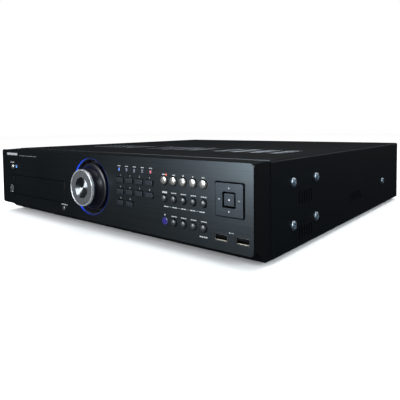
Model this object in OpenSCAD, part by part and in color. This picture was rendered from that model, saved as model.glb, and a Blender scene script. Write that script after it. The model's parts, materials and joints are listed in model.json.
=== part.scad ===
// Rack-width digital video recorder, two rack units high: sheet-steel case, front controls,
// disc drive, hard drives, boards, fan, power supply and rear sockets.
//
// While a piece is drawn, x = 0 is the centre line, y = 0 is the face of the front plate and
// runs back, and z = 0 is the underside of the case. in_row() then moves the piece to the
// part's own origin: the middle of the whole recorder, at the level that its feet stand on.

/* [Case] */
// Width over the cover's two sides
case_w = 440; // [420:1:560]
// Height of the case without its feet
case_h = 88; // [84:1:120]
// Depth from the front plate's face to the rear panel
case_d = 443; // [430:1:560]
// Sheet steel of the cover, the pan and the rear panel
sheet_t = 1.2; // [0.8:0.1:2]
// Outer radius of the cover's two long bends
bend_r = 2.5; // [2.1:0.1:4]
// Gap between the cover and what stands inside it
cover_gap = 0.3; // [0.2:0.1:1]

/* [Feet] */
// Height of a foot below the case
foot_h = 5; // [3:0.5:12]
// Radius of a foot
foot_r = 11; // [8:0.5:14]
// Distance of a foot's centre from the case's side
foot_in_x = 32; // [25:1:60]
// Distance of a foot's centre from the case's front and rear ends
foot_in_y = 52; // [48:1:80]
// Radius of the stem that holds a foot in the pan
foot_stem_r = 3; // [2:0.5:4]

/* [Front] */
// Depth from the front plate's face to the front edge of the cover
bezel_d = 28; // [26:1:40]
// Wall of the moulded bezel
bezel_wall = 2.5; // [2:0.1:3.5]
// Thickness of the metal front plate
plate_t = 2; // [1:0.1:3]
// Distance from the case's underside to the front plate's lower edge
plate_low = 9.3; // [6:0.1:12]
// Distance from the case's top to the front plate's upper edge
plate_drop = 0.7; // [0.3:0.1:3]
// Distance from the cover's side to the front plate's end
plate_side = 0.3; // [0.2:0.1:2]
// How far the bezel stands inside the cover's outer faces
bezel_step = 0.6; // [0.3:0.1:1]
// Corner radius of the front plate
plate_r = 4; // [2:0.5:8]
// Distance from the front plate's back to the front board
board_gap = 10; // [9:0.5:12]

/* [Dial] */
// Distance of the dial's axis from the centre line
dial_x = -2.2; // [-10:0.1:10]
// Height of the dial's axis above the middle of the front plate
dial_rise = 1.3; // [-3:0.1:3]
// Radius of the round opening in the front plate
dial_open_r = 33.2; // [31:0.1:36]
// Width of the lit ring inside that opening
dial_light_w = 0.5; // [0.4:0.1:1.5]
// Radius of the turning knob over its bright rim
knob_r = 21; // [17:0.1:22]
// How far the knob stands out of the front plate
knob_out = 13; // [8:0.5:20]
// Width of the shuttle ring beyond the knob's rim
shuttle_w = 6; // [3:0.1:6.5]
// Radius of the dish in the knob's cap
knob_dish_r = 12; // [8:0.5:15]
// Depth of that dish at its centre
knob_dish_depth = 2.4; // [1:0.1:3]
// Gap between the knob and the shuttle ring
dial_gap = 0.4; // [0.3:0.1:1]
// Radius of the knob's spindle
spindle_r = 3; // [2:0.5:4]
// Clearance of the two turning fits, on the radius
turn_fit = 0.05; // [0.02:0.01:0.1]

/* [Number keys] */
// Width of a key's face
key_w = 10; // [8:0.1:12]
// Height of a key's face
key_h = 5.4; // [4:0.1:7]
// Distance between two columns of keys
key_pitch_x = 15; // [14:0.1:18]
// Distance between two rows of keys
key_pitch_z = 12.35; // [10:0.05:14]
// Distance of the first column from the dial's axis
key_from_dial = 54.2; // [48:0.1:60]
// Height of the top row above the middle of the front plate
key_rise = 13.5; // [8:0.1:16]

/* [Buttons] */
// How far any key or button travels when pressed
press = 0.8; // [0.3:0.1:1]
// How far a key or button stands out of the front plate
key_out = 1.5; // [1.2:0.1:3]
// Gap between a key or button and the edge of its hole
key_gap = 0.5; // [0.3:0.05:0.7]
// Radius of a bright transport button
big_r = 4; // [3:0.1:4.5]
// Radius of a dark function button
small_r = 3.25; // [2.5:0.05:4]
// Distance between two columns of round buttons
round_pitch = 12.25; // [11:0.05:14]
// Distance of the last column of round buttons from the plate's right end
round_in = 52.7; // [50:0.1:60]
// Width and height of the direction pad
pad_w = 28.8; // [26:0.1:32]
// Gap round the direction pad
pad_gap = 0.8; // [0.6:0.1:1.2]
// Width and height of the enter button inside the pad
enter_w = 10.8; // [8:0.1:12]
// Gap round the enter button
enter_gap = 1.6; // [1:0.1:2.5]
// Distance of the pad's centre from the plate's right end
pad_in = 24.1; // [22:0.1:30]

/* [Disc drive] */
// Width of the disc drive's door
door_w = 130; // [126:1:136]
// Height of the disc drive's door
door_h = 26.5; // [20:0.5:30]
// Gap round the door
door_gap = 0.5; // [0.3:0.1:1]
// Distance of the door's middle from the plate's left end
door_in = 97.7; // [90:0.1:110]
// Length of the disc drive's case
drive_len = 170; // [160:1:190]
// Length of the drive's inside that the open tray still fills
tray_stay = 35; // [30:1:60]
// Radius of the disc that the tray holds
disc_r = 60; // [40:1:60]

/* [Side and top] */
// Radius of an ear screw's head
ear_screw_r = 5; // [3:0.1:6]
// Distance of the first pair of ear screws behind the front plate's face
ear_screw_y = 70.3; // [60:0.1:90]
// Distance between the two pairs along the case
ear_pitch_y = 52; // [30:0.5:60]
// Distance between the screws of a pair
ear_pitch_z = 41.5; // [30:0.5:44]
// Width of a ventilation slot
slot_w = 2.4; // [1.5:0.1:3]
// Distance between two ventilation slots
slot_pitch = 5.5; // [5:0.1:8]

/* [Rear] */
// Radius of a video jack's barrel
video_jack_r = 4.83; // [4:0.01:5]
// How far a video jack stands out of the rear panel
video_jack_out = 14; // [10:0.5:18]
// Distance between two video jacks
video_pitch = 19; // [17:0.5:24]
// Number of columns of video jacks
video_columns = 9; // [4:1:9]
// Side of the square fan
fan_w = 60; // [40:1:60]
// Thickness of the fan
fan_t = 20; // [15:1:25]

/* [Hidden] */
$fn = 48;
eps = 0.01;

// Levels of the front: each is a distance behind the front plate's face
wall_back = plate_t + bezel_wall;
flange_t = 1;
flange_gap = 0.3;
flange_front = wall_back + flange_gap;
flange_back = flange_front + flange_t;
stem_out = 0.9;
key_back = flange_back + stem_out;
board_front = plate_t + board_gap;
board_t = 1.6;
board_back = board_front + board_t;
switch_gap = 0.2;
switch_front = key_back + press + switch_gap;
round_flange = 0.8;
stem_r = 1.5;
key_flange = 1.5;

// The front plate
plate_w = case_w - 2 * plate_side;
plate_top = case_h - plate_drop;
plate_h = plate_top - plate_low;
plate_mid = (plate_top + plate_low) / 2;
plate_end = plate_w / 2;

// The dial
dial_z = plate_mid + dial_rise;
rim_w = 1.6;
rim_depth = 3;
cap_gap = 0.4;
cap_fit = 0.05;
cap_r = knob_r - rim_w - cap_gap;
cap_front = 0.5 - knob_out;
cap_back = 4.4 - knob_out;
knob_body_r = knob_r - 0.5;
knob_wall = 1.8;
knob_floor_t = 2;
knob_back = plate_t;
knob_boss_r = spindle_r + 2;
spindle_back_out = 4;
shuttle_in_r = knob_body_r + dial_gap;
shuttle_out_r = knob_r + shuttle_w;
shuttle_rim_w = 0.8;
shuttle_lip = 1.4;
shuttle_front = -knob_out / 2;
shuttle_web = knob_back + 1.2;
shuttle_web_t = 1.6;
shuttle_hub_w = 2.5;
shuttle_hub_out = 1.5;
encoder_neck_r = 9;
encoder_neck_gap = 0.4;
encoder_w = 35;
encoder_t = 7;
encoder_bush_r = 6;
shuttle_hub_r = encoder_neck_r + shuttle_hub_w;
cup_out_r = dial_open_r - dial_light_w;
cup_wall = 1.3;
cup_in_r = cup_out_r - cup_wall;
cup_front = 1.6;
cup_back = board_front - 1;
cup_taper = 2.2;
cup_hole_r = shuttle_hub_r + 0.6;
light_front = 0.2;

// Number keys, in the order of the digits that they carry
KEY_DIGITS = [1, 2, 3, 4, 5, 6, 7, 8, 9, 0];
key_columns = 4;
function key_x(i) = dial_x + key_from_dial + key_pitch_x * (i % key_columns);
function key_z(i) = plate_mid + key_rise - key_pitch_z * floor(i / key_columns);

// Round buttons: three rows of five columns, of which the last row starts with a window
round_columns = 5;
round_rise = [17.9, 0.2, -22.1];
function round_x(column) = plate_end - round_in - round_pitch * (round_columns - 1 - column);
function round_z(row) = plate_mid + round_rise[row];
window_r = 3.75;
window_x = round_x(0);

// Direction pad
pad_x = plate_end - pad_in;
pad_z = plate_mid + 6.65;
pad_hole = enter_w + 2 * enter_gap;
pad_back = wall_back - 0.2;
pad_corner_r = 1.2;
pad_sink = 0.3;
enter_sink = 0.6;
enter_corner_r = 0.8;
web_rim = 3;
web_w = pad_w + 2 * web_rim;
web_in = pad_w - web_rim;
web_front = wall_back + 0.9;
web_t = 1.6;
pivot_y = web_front + web_t / 2;
pivot_r = 0.6;
pivot_len = 1.6;
lug_w = 3;
lug_wall = 0.8;

// Power button, lamps and eject button
power_x = -plate_end + 33.7;
power_z = plate_mid + 15.1;
power_lamp_x = power_x + 8.3;
power_lamp_r = 2;
eject_x = -plate_end + 163.2;
eject_z = plate_mid - 30.5;
lamp_w = 2.6;
lamp_h = 3.4;
lamp_count = 5;
lamp_pitch = 12.2;
lamp_x = key_x(0) - 2.1;
lamp_z = plate_mid + 24.6;

// Front data sockets
usb_w = 13.2;
usb_h = 5.8;
usb_wall = 0.35;
usb_len = 14;
usb_front = 0.6;
usb_tongue_w = 11.2;
usb_tongue_t = 1.9;
usb_tongue_rise = 0.9;
usb_hole_w = usb_w + 1;
usb_hole_h = usb_h + 0.4;
usb_pitch = 22.9;
usb_mid_x = plate_end - 22.5;
usb_z = plate_mid - 27.6;
function usb_x(i) = usb_mid_x + usb_pitch * (i - 0.5);

// Disc drive
door_x = -plate_end + door_in;
door_z = plate_mid - 10.5;
door_t = wall_back - 0.5;
drive_w = 146;
drive_h = 41;
drive_wall = 1;
drive_front = board_back + 2;
drive_z = door_z - drive_h / 2;
tray_w = door_w - 4;
tray_t = 8;
tray_end_gap = 12;
tray_len = drive_len - tray_end_gap;
tray_travel = drive_len - tray_stay;
tray_z = door_z - 5;
disc_depth = 3;
tray_hub_r = 18;
rail_w = 6;
rail_t = 2.4;
rail_gap = 0.5;
rail_block_h = 8;

// Case inside
pan_gap = sheet_t + cover_gap;
pan_x = case_w / 2 - pan_gap;
pan_front = bezel_d;
pan_back = case_d - sheet_t;
pan_top = case_h - 6;
drive_hole_gap = 1.5;

// Screws
ear_screw_head = 2.2;
ear_shank_r = 2;
ear_shank = 7;
ear_low_z = 22.4;
head_rim = 0.3;
m3_head_r = 2.75;
m3_head = 1.8;
m3_r = 1.45;
m3_len = 5;
screw_gap = 0.1;
cover_screw_z = 34;
cover_screw_in = 84;
rear_screw_z = case_h - 6;

// Ventilation: groups of slots, each [first slot's y, lower end, slots, length]
side_vents = [[82, 40.5, 6, 13.6], [82, 6.5, 6, 12.8], [224, 21, 8, 12.5]];
top_vent_y = 113;
top_vent_rows = 10;
top_vent_len = 17;
top_vent_columns = 4;
top_vent_pitch = 25.6;
top_vent_patches = 3;
top_patch_pitch = 119;
top_patch_x = 19;

// Hard drives, two stacks of two
hdd_w = 101.6;
hdd_len = 147;
hdd_h = 26.1;
hdd_stacks = 2;
hdd_levels = 2;
hdd_gap_z = 7;
hdd_front = drive_front + 40;
bracket_t = 1.2;
hdd_first_x = door_x + drive_w / 2 + 12;
hdd_stack_pitch = hdd_w + 2 * bracket_t + 10;
hdd_low = sheet_t + 8;
function hdd_x(i) = hdd_first_x + hdd_w / 2 + hdd_stack_pitch * i;
function hdd_z(i) = hdd_low + (hdd_h + hdd_gap_z) * i;

// Main board
standoff_h = 8;
standoff_r = 3;
board_z = sheet_t + standoff_h;
main_w = 300;
main_len = 200;
main_x = -pan_x + 8;
main_back = case_d - sheet_t - 1;
main_front = main_back - main_len;
main_screw_in = 6;
function main_screws() = [
  for (x = [main_x + main_screw_in, main_x + main_w / 2, main_x + main_w - main_screw_in])
    for (y = [main_front + main_screw_in, main_back - 2 * main_screw_in - 20]) [x, y]
];

// Rear sockets
panel_front = case_d - sheet_t;
video_first_x = -pan_x + 24;
video_row_z = [44, 68];
video_flange_r = 7;
video_body_r = 6;
video_body_len = 14;
video_nut_t = 2.2;
video_bore_r = 4.1;
video_bore_front = 4;
video_pin_r = 2.4;
video_pin_in = 2;
video_lug_in = 5;
video_lug_r = 1;
video_lug_len = 2.4;
jack_hole_gap = 0.1;
function video_x(i) = video_first_x + video_pitch * i;
socket_top = board_z + board_t;

// Fan, power supply and mains inlet
fan_x = pan_x - 108;
fan_z = sheet_t + 12 + fan_w / 2;
fan_blades = 7;
fan_hub_r = 14;
fan_pin_r = 1.5;
psu_w = 90;
psu_h = 42;
psu_len = 180;
psu_x = pan_x - 8 - psu_w;
psu_back = case_d - 60;
inlet_w = 27.4;
inlet_h = 19.8;
inlet_x = pan_x - 40;
inlet_z = 26;
inlet_depth = 22;
inlet_flange = 2;
inlet_flange_w = 50;
inlet_flange_h = 23;
inlet_wall = 1.7;
inlet_floor = 3;
inlet_screw_x = 20;
inlet_pin_x = 7;
inlet_pin_z = 2;

// Middle of the recorder's length, from the knob's face to the ends of the video jacks
mid_y = (case_d + video_jack_out - knob_out) / 2;

module in_row() translate([0, -mid_y, foot_h]) children();

// A block between two values on each axis
module block(x, y, z) {
  translate([x[0], y[0], z[0]]) cube([x[1] - x[0], y[1] - y[0], z[1] - z[0]]);
}

// A block centred on x and z, between two values of y
module centred(x, z, w, h, y) block([x - w / 2, x + w / 2], y, [z - h / 2, z + h / 2]);

// A cylinder along y between two values
module rod_y(x, z, r, y) translate([x, y[0], z]) rotate([-90, 0, 0]) cylinder(r = r, h = y[1] - y[0]);

// A cylinder along x between two values
module rod_x(x, y, z, r) translate([x[0], y, z]) rotate([0, 90, 0]) cylinder(r = r, h = x[1] - x[0]);

// A cylinder along z between two values
module rod_z(x, y, z, r) translate([x, y, z[0]]) cylinder(r = r, h = z[1] - z[0]);

// A turned shape about a line along y through (x, z): the outline is [radius, y]
module turned_y(x, z) translate([x, 0, z]) rotate([-90, 0, 0]) rotate_extrude() children();

// A rectangle with round corners, centred
module round_rect(w, h, r) {
  square([w - 2 * r, h], center = true);
  square([w, h - 2 * r], center = true);
  for (i = [-1, 1], j = [-1, 1]) translate([i * (w / 2 - r), j * (h / 2 - r)]) circle(r);
}

// A rounded block centred on x and z, between two values of y
module rounded_y(x, z, w, h, r, y) {
  translate([x, y[1], z]) rotate([90, 0, 0]) linear_extrude(y[1] - y[0]) round_rect(w, h, r);
}

// A flat slot with round ends: length along the first axis
module slot_2d(len, w) {
  square([len - w, w], center = true);
  for (i = [-1, 1]) translate([i * (len - w) / 2, 0]) circle(w / 2, $fn = 24);
}

// What is cut through the front for the keys and buttons, between two values of y
module control_holes(y) {
  for (i = [0 : len(KEY_DIGITS) - 1])
    centred(key_x(i), key_z(i), key_w + 2 * key_gap, key_h + 2 * key_gap, y);
  for (c = [0 : round_columns - 1]) {
    rod_y(round_x(c), round_z(0), big_r + key_gap, y);
    rod_y(round_x(c), round_z(1), small_r + key_gap, y);
  }
  for (c = [1 : round_columns - 1]) rod_y(round_x(c), round_z(2), small_r + key_gap, y);
  rod_y(power_x, power_z, small_r + key_gap, y);
  rod_y(eject_x, eject_z, small_r + key_gap, y);
  rounded_y(pad_x, pad_z, pad_w + 2 * pad_gap, pad_w + 2 * pad_gap, pad_corner_r + pad_gap / 2, y);
  for (i = [0, 1]) centred(usb_x(i), usb_z, usb_hole_w, usb_hole_h, y);
}

// What is cut through the front for the lamps and the receiver window
module lamp_holes(y) {
  for (i = [0 : lamp_count - 1]) centred(lamp_x + lamp_pitch * i, lamp_z, lamp_w, lamp_h, y);
  rod_y(power_lamp_x, power_z, power_lamp_r, y);
  rod_y(window_x, round_z(2), window_r, y);
}

module front_plate() in_row() color("slategray") difference() {
  rounded_y(0, plate_mid, plate_w, plate_h, plate_r, [0, plate_t]);
  control_holes([-1, plate_t + 1]);
  lamp_holes([-1, plate_t + 1]);
  rod_y(dial_x, dial_z, dial_open_r, [-1, plate_t + 1]);
  centred(door_x, door_z, door_w + 2 * door_gap, door_h + 2 * door_gap, [-1, plate_t + 1]);
}

// Side view of the bezel: its top slopes to the plate and its lower edge is cut back
bezel_cut_z = 12.3;
bezel_cut_y = 18.6;
bezel_drop = 0.7;
bezel_lip = 3;
bezel_low_wall = 1.2;
module bezel_side(wall, low_wall, back) polygon([
  [plate_t + wall, plate_top - bezel_drop - wall],
  [bezel_d - bezel_lip, case_h - bezel_step - wall],
  [bezel_d + back, case_h - bezel_step - wall],
  [bezel_d + back, low_wall],
  [bezel_cut_y + low_wall, low_wall],
  [bezel_cut_y - bezel_cut_z + low_wall / 2, bezel_cut_z + low_wall],
  [plate_t + wall, bezel_cut_z + low_wall]
]);

module bezel_solid(wall, low_wall, back) {
  inset = bezel_step + wall;
  translate([inset - case_w / 2, 0, 0]) rotate([90, 0, 90])
    linear_extrude(case_w - 2 * inset) bezel_side(wall, low_wall, back);
}

// Bosses behind the bezel's wall, to which the front board is screwed: [x, z]
boss_top = plate_top - 8;
boss_low = plate_low + 7.7;
boss_r = 3;
BOSSES = [
  [door_x - 20, boss_top], [dial_x - 56, boss_top], [dial_x + 42, boss_top],
  [round_x(0) - 10, boss_top], [plate_end - 10, boss_top],
  [dial_x - 42.8, boss_low], [dial_x + 42, boss_low],
  [(round_x(0) + round_x(1)) / 2, boss_low], [round_x(4) + 4.5, boss_low]
];

module front_bezel() in_row() color("black") {
  difference() {
    bezel_solid(0, 0, 0);
    bezel_solid(bezel_wall, bezel_low_wall, 1);
    control_holes([0, wall_back + 1]);
    lamp_holes([0, wall_back + 1]);
    rod_y(dial_x, dial_z, dial_open_r, [0, wall_back + 1]);
    centred(door_x, door_z, door_w + 2 * door_gap, door_h + 2 * door_gap, [0, wall_back + 1]);
  }
  for (side = [-1, 1]) difference() {
    centred(pad_x, pad_z + side * (web_w / 2 + pivot_len / 2 + 0.4), lug_w, pivot_len,
      [wall_back - eps, pivot_y + pivot_r + lug_wall]);
    rod_z(pad_x, pivot_y, [pad_z - web_w, pad_z + web_w], pivot_r + turn_fit);
  }
  for (b = BOSSES) difference() {
    rod_y(b[0], b[1], boss_r, [wall_back - eps, board_front]);
    rod_y(b[0], b[1], m3_r, [board_front - m3_len, board_front + 1]);
  }
}

// The dial: a bright rim and a turned cap on a knob, inside a sprung shuttle ring
module jog_knob() in_row() color("midnightblue") turned_y(dial_x, dial_z) polygon([
  [0, cap_back], [cap_r, cap_back], [cap_r, rim_depth - knob_out],
  [knob_body_r, rim_depth - knob_out], [knob_body_r, knob_back],
  [knob_body_r - knob_wall, knob_back], [knob_body_r - knob_wall, cap_back + knob_floor_t],
  [knob_boss_r, cap_back + knob_floor_t], [knob_boss_r, knob_back], [spindle_r, knob_back],
  [spindle_r, board_back + spindle_back_out], [0, board_back + spindle_back_out]
]);

module jog_rim() in_row() color("gainsboro") turned_y(dial_x, dial_z) polygon(concat(
  [for (a = [0 : 15 : 180]) [knob_r - rim_w / 2 + rim_w / 2 * cos(a),
    -knob_out + rim_w / 2 - rim_w / 2 * sin(a)]],
  [[knob_r - rim_w, rim_depth - knob_out], [knob_r, rim_depth - knob_out]]
));

dish_sphere_r = (pow(knob_dish_r, 2) + pow(knob_dish_depth, 2)) / (2 * knob_dish_depth);
module jog_cap() in_row() color("silver") difference() {
  rod_y(dial_x, dial_z, cap_r - cap_fit, [cap_front, cap_back]);
  translate([dial_x, cap_front + knob_dish_depth - dish_sphere_r, dial_z])
    sphere(dish_sphere_r, $fn = 96);
}

// The flare of the shuttle ring is a quarter of an ellipse
flare_steps = 9;
flare_in_r = shuttle_in_r + shuttle_rim_w;
module shuttle_ring() in_row() color("midnightblue") turned_y(dial_x, dial_z) polygon(concat(
  [[shuttle_in_r, shuttle_front]],
  [for (i = [0 : flare_steps]) let (a = 90 * i / flare_steps) [
    flare_in_r + (shuttle_out_r - flare_in_r) * (1 - cos(a)),
    shuttle_front + (shuttle_lip - shuttle_front) * sin(a)]],
  [
    [shuttle_out_r, shuttle_web + shuttle_web_t],
    [shuttle_hub_r, shuttle_web + shuttle_web_t], [shuttle_hub_r, cup_back - shuttle_hub_out],
    [encoder_neck_r + turn_fit, cup_back - shuttle_hub_out],
    [encoder_neck_r + turn_fit, shuttle_web], [shuttle_in_r, shuttle_web]
  ]
));

module dial_cup() in_row() color("black") turned_y(dial_x, dial_z) polygon([
  [cup_in_r, cup_front], [cup_out_r, cup_front],
  [cup_out_r, wall_back], [cup_out_r - cup_taper, cup_back],
  [cup_hole_r, cup_back], [cup_hole_r, cup_back - cup_wall],
  [cup_in_r - cup_taper, cup_back - cup_wall]
]);

module dial_light_ring() in_row() color("royalblue") turned_y(dial_x, dial_z) polygon([
  [cup_out_r, light_front], [dial_open_r, light_front], [dial_open_r, wall_back], [cup_out_r, wall_back]
]);

module dial_encoder() in_row() color("dimgray") difference() {
  union() {
    rod_y(dial_x, dial_z, encoder_neck_r, [shuttle_web + encoder_neck_gap, board_front]);
    centred(dial_x, dial_z, encoder_w, encoder_w, [board_back, board_back + encoder_t]);
    rod_y(dial_x, dial_z, encoder_bush_r, [board_front - 1, board_back + 1]);
  }
  rod_y(dial_x, dial_z, spindle_r + turn_fit, [-1, board_back + encoder_t + 1]);
}

// Keys and buttons: the face, and a flange behind the wall that keeps it in
module number_key(i) in_row() color("dimgray") {
  centred(key_x(i), key_z(i), key_w, key_h, [-key_out, flange_back]);
  centred(key_x(i), key_z(i), key_w + 2 * key_flange, key_h + 2 * key_flange,
    [flange_front, flange_back]);
  centred(key_x(i), key_z(i), 2 * stem_r, 2 * stem_r, [flange_back - 0.5, key_back]);
}

dome_steps = 8;
module round_button(x, z, r, rise) turned_y(x, z) polygon(concat(
  [for (i = [0 : dome_steps]) let (a = 90 * i / dome_steps)
    [r * sin(a), -key_out - rise * cos(a)]],
  [
    [r, flange_front], [r + round_flange, flange_front], [r + round_flange, flange_back],
    [stem_r, flange_back], [stem_r, key_back], [0, key_back]
  ]
));

big_dome = 0.9;
small_dome = 1.1;
module small_button(x, z) round_button(x, z, small_r, small_dome);
module transport_button(column) in_row() color("gainsboro")
  round_button(round_x(column), round_z(0), big_r, big_dome);
module function_button(column) in_row() color("slategray") small_button(round_x(column), round_z(1));
module menu_row_button(column) in_row() color("slategray") small_button(round_x(column), round_z(2));
module power_button() in_row() color("gainsboro") small_button(power_x, power_z);
module eject_button() in_row() color("slategray") small_button(eject_x, eject_z);

// The pad turns in the web about x, and the web turns in the bezel about z
pad_lug_in = 3;
pad_lug_w = 2;
pad_pin_mid = pad_w / 2 - 0.9;
module nav_pad() in_row() color("slategray") {
  difference() {
    rounded_y(pad_x, pad_z, pad_w, pad_w, pad_corner_r, [pad_sink - key_out, pad_back]);
    rounded_y(pad_x, pad_z, pad_hole, pad_hole, pad_corner_r, [-key_out - 1, pad_back + 1]);
  }
  for (side = [-1, 1]) {
    centred(pad_x + side * (pad_w / 2 - pad_lug_in), pad_z, pad_lug_w, lug_w, [pad_back - 0.5, pivot_y + 1]);
    rod_x([pad_x + side * pad_pin_mid - pivot_len, pad_x + side * pad_pin_mid + pivot_len],
      pivot_y, pad_z, pivot_r);
  }
}

module nav_web() in_row() color("dimgray") {
  difference() {
    centred(pad_x, pad_z, web_w, web_w, [web_front, web_front + web_t]);
    centred(pad_x, pad_z, web_in, web_in, [web_front - 1, web_front + web_t + 1]);
    rod_x([pad_x - pad_w / 2 - 1, pad_x + pad_w / 2 + 1], pivot_y, pad_z, pivot_r + turn_fit);
  }
  for (side = [-1, 1]) translate([pad_x, pivot_y, pad_z + side * (web_w / 2 + pivot_len / 2 - 0.2)])
    cylinder(r = pivot_r, h = pivot_len + 0.6, center = true);
}

module enter_button() in_row() color("slategray") {
  rounded_y(pad_x, pad_z, enter_w, enter_w, enter_corner_r, [enter_sink - key_out, key_back]);
}

// One moulding of clear plastic carries the light to every lamp
module light_guides() in_row() color("lightskyblue") {
  for (i = [0 : lamp_count - 1])
    centred(lamp_x + lamp_pitch * i, lamp_z, lamp_w, lamp_h, [-0.2, board_front - 2]);
  rod_y(power_lamp_x, power_z, power_lamp_r, [-0.2, board_front - 2]);
  rod_y(window_x, round_z(2), window_r, [-0.2, wall_back + 1]);
}

module usb_ports() in_row() color("silver") for (i = [0, 1]) {
  difference() {
    centred(usb_x(i), usb_z, usb_w, usb_h, [usb_front, usb_front + usb_len]);
    centred(usb_x(i), usb_z, usb_w - 2 * usb_wall, usb_h - 2 * usb_wall,
      [usb_front - 1, usb_front + usb_len - 1]);
  }
  centred(usb_x(i), usb_z + usb_tongue_rise, usb_tongue_w, usb_tongue_t,
    [usb_front + 1, usb_front + usb_len - 0.5]);
}

// The front board, with a small switch behind every key and button
front_board_low = plate_low + 4.7;
front_board_top = plate_top - 5.3;
front_board_left = door_x + door_w / 2 + 3;
front_board_right = plate_end - 6;
front_board_strip = door_z + drive_h / 2 - 4;
front_board_tab = door_z - door_h / 2 - 2;
switch_w = 6;
lamp_chip = 2;
lamp_chip_t = 1.6;
receiver_w = 5;
receiver_h = 6;
receiver_t = 4;
module on_front_board(x, z, w, h, t) centred(x, z, w, h, [board_front - t, board_front + eps]);
ribbon_w = 30;
ribbon_x = dial_x + 62;
ribbon_z = case_h - 12;
module tact_switch(x, z) centred(x, z, switch_w, switch_w, [switch_front, board_front + eps]);
module front_board() in_row() color("darkgreen") {
  difference() {
    union() {
      block([front_board_left, front_board_right], [board_front, board_back],
        [front_board_low, front_board_top]);
      block([-plate_end + 12, front_board_left + 1], [board_front, board_back],
        [front_board_strip, front_board_top]);
      block([eject_x - switch_w, front_board_left + 1], [board_front, board_back],
        [front_board_low, front_board_tab]);
    }
    rod_y(dial_x, dial_z, encoder_neck_r - 2, [board_front - 1, board_back + 1]);
    for (i = [0, 1])
      centred(usb_x(i), usb_z, usb_w + 1, usb_h + 1, [board_front - 1, board_back + 1]);
    for (b = BOSSES) rod_y(b[0], b[1], m3_r + screw_gap, [board_front - 1, board_back + 1]);
  }
  for (i = [0 : len(KEY_DIGITS) - 1]) tact_switch(key_x(i), key_z(i));
  for (c = [0 : round_columns - 1], row = [0 : 1]) tact_switch(round_x(c), round_z(row));
  for (c = [1 : round_columns - 1]) tact_switch(round_x(c), round_z(2));
  tact_switch(pad_x, pad_z);
  tact_switch(power_x, power_z);
  tact_switch(eject_x, eject_z);
  for (i = [0 : lamp_count - 1])
    on_front_board(lamp_x + lamp_pitch * i, lamp_z, lamp_chip, lamp_chip, lamp_chip_t);
  on_front_board(power_lamp_x, power_z, lamp_chip, lamp_chip, lamp_chip_t);
  on_front_board(window_x, round_z(2), receiver_w, receiver_h, receiver_t);
}

// The disc drive: its tray carries the door out with it
module disc_door() in_row() color("slategray") {
  centred(door_x, door_z, door_w, door_h, [0, door_t]);
}

tray_front = drive_front + 1;
tray_back = tray_front + tray_len;
tray_neck_w = tray_w - 16;
disc_edge = 1;
disc_y = tray_front + 6 + disc_r;
rail_front = tray_front + tray_travel + 3;
module disc_tray() in_row() color("dimgray") difference() {
  union() {
    centred(door_x, tray_z, tray_w, tray_t, [tray_front, tray_back]);
    centred(door_x, tray_z, tray_neck_w, tray_t, [door_t, tray_front + 1]);
    centred(door_x, tray_z, tray_w + rail_w, rail_t, [rail_front, tray_back]);
  }
  rod_z(door_x, disc_y, [tray_z + tray_t / 2 - disc_depth, tray_z + tray_t], disc_r + disc_edge);
  block([door_x - tray_hub_r, door_x + tray_hub_r],
    [disc_y - tray_hub_r, tray_back + 1], [tray_z - tray_t, tray_z + tray_t]);
}

module disc_drive() in_row() color("silver") {
  difference() {
    block([door_x - drive_w / 2, door_x + drive_w / 2], [drive_front, drive_front + drive_len],
      [drive_z, drive_z + drive_h]);
    block([door_x - drive_w / 2 + drive_wall, door_x + drive_w / 2 - drive_wall],
      [drive_front + drive_wall, drive_front + drive_len - drive_wall],
      [drive_z + drive_wall, drive_z + drive_h - drive_wall]);
    centred(door_x, tray_z, tray_w + rail_w + 2, tray_t + 2, [drive_front - 1, drive_front + 3]);
  }
  for (side = [0, 1]) translate([door_x, 0, 0]) mirror([side, 0, 0]) difference() {
    block([tray_w / 2 + rail_gap, drive_w / 2 - drive_wall + eps],
      [drive_front + 6, drive_front + drive_len - 6],
      [tray_z - rail_block_h / 2, tray_z + rail_block_h / 2]);
    block([0, tray_w / 2 + rail_w / 2 + rail_gap], [drive_front, drive_front + drive_len],
      [tray_z - rail_t / 2 - rail_gap, tray_z + rail_t / 2 + rail_gap]);
  }
}

// The case: a steel pan, a cover bent over it and a rear panel
module side_vent_windows(margin) for (v = side_vents)
  block([-case_w, case_w], [v[0] - margin, v[0] + slot_pitch * (v[2] - 1) + slot_w + margin],
    [v[1] - margin, v[1] + v[3] + margin]);

function ear_screws_yz() = [
  for (y = [ear_screw_y, ear_screw_y + ear_pitch_y], z = [ear_low_z, ear_low_z + ear_pitch_z]) [y, z],
  [case_d - cover_screw_in, cover_screw_z]
];
function foot_places() = [
  for (x = [-1, 1], y = [foot_in_y, case_d - foot_in_y]) [x * (case_w / 2 - foot_in_x), y]
];

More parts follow.
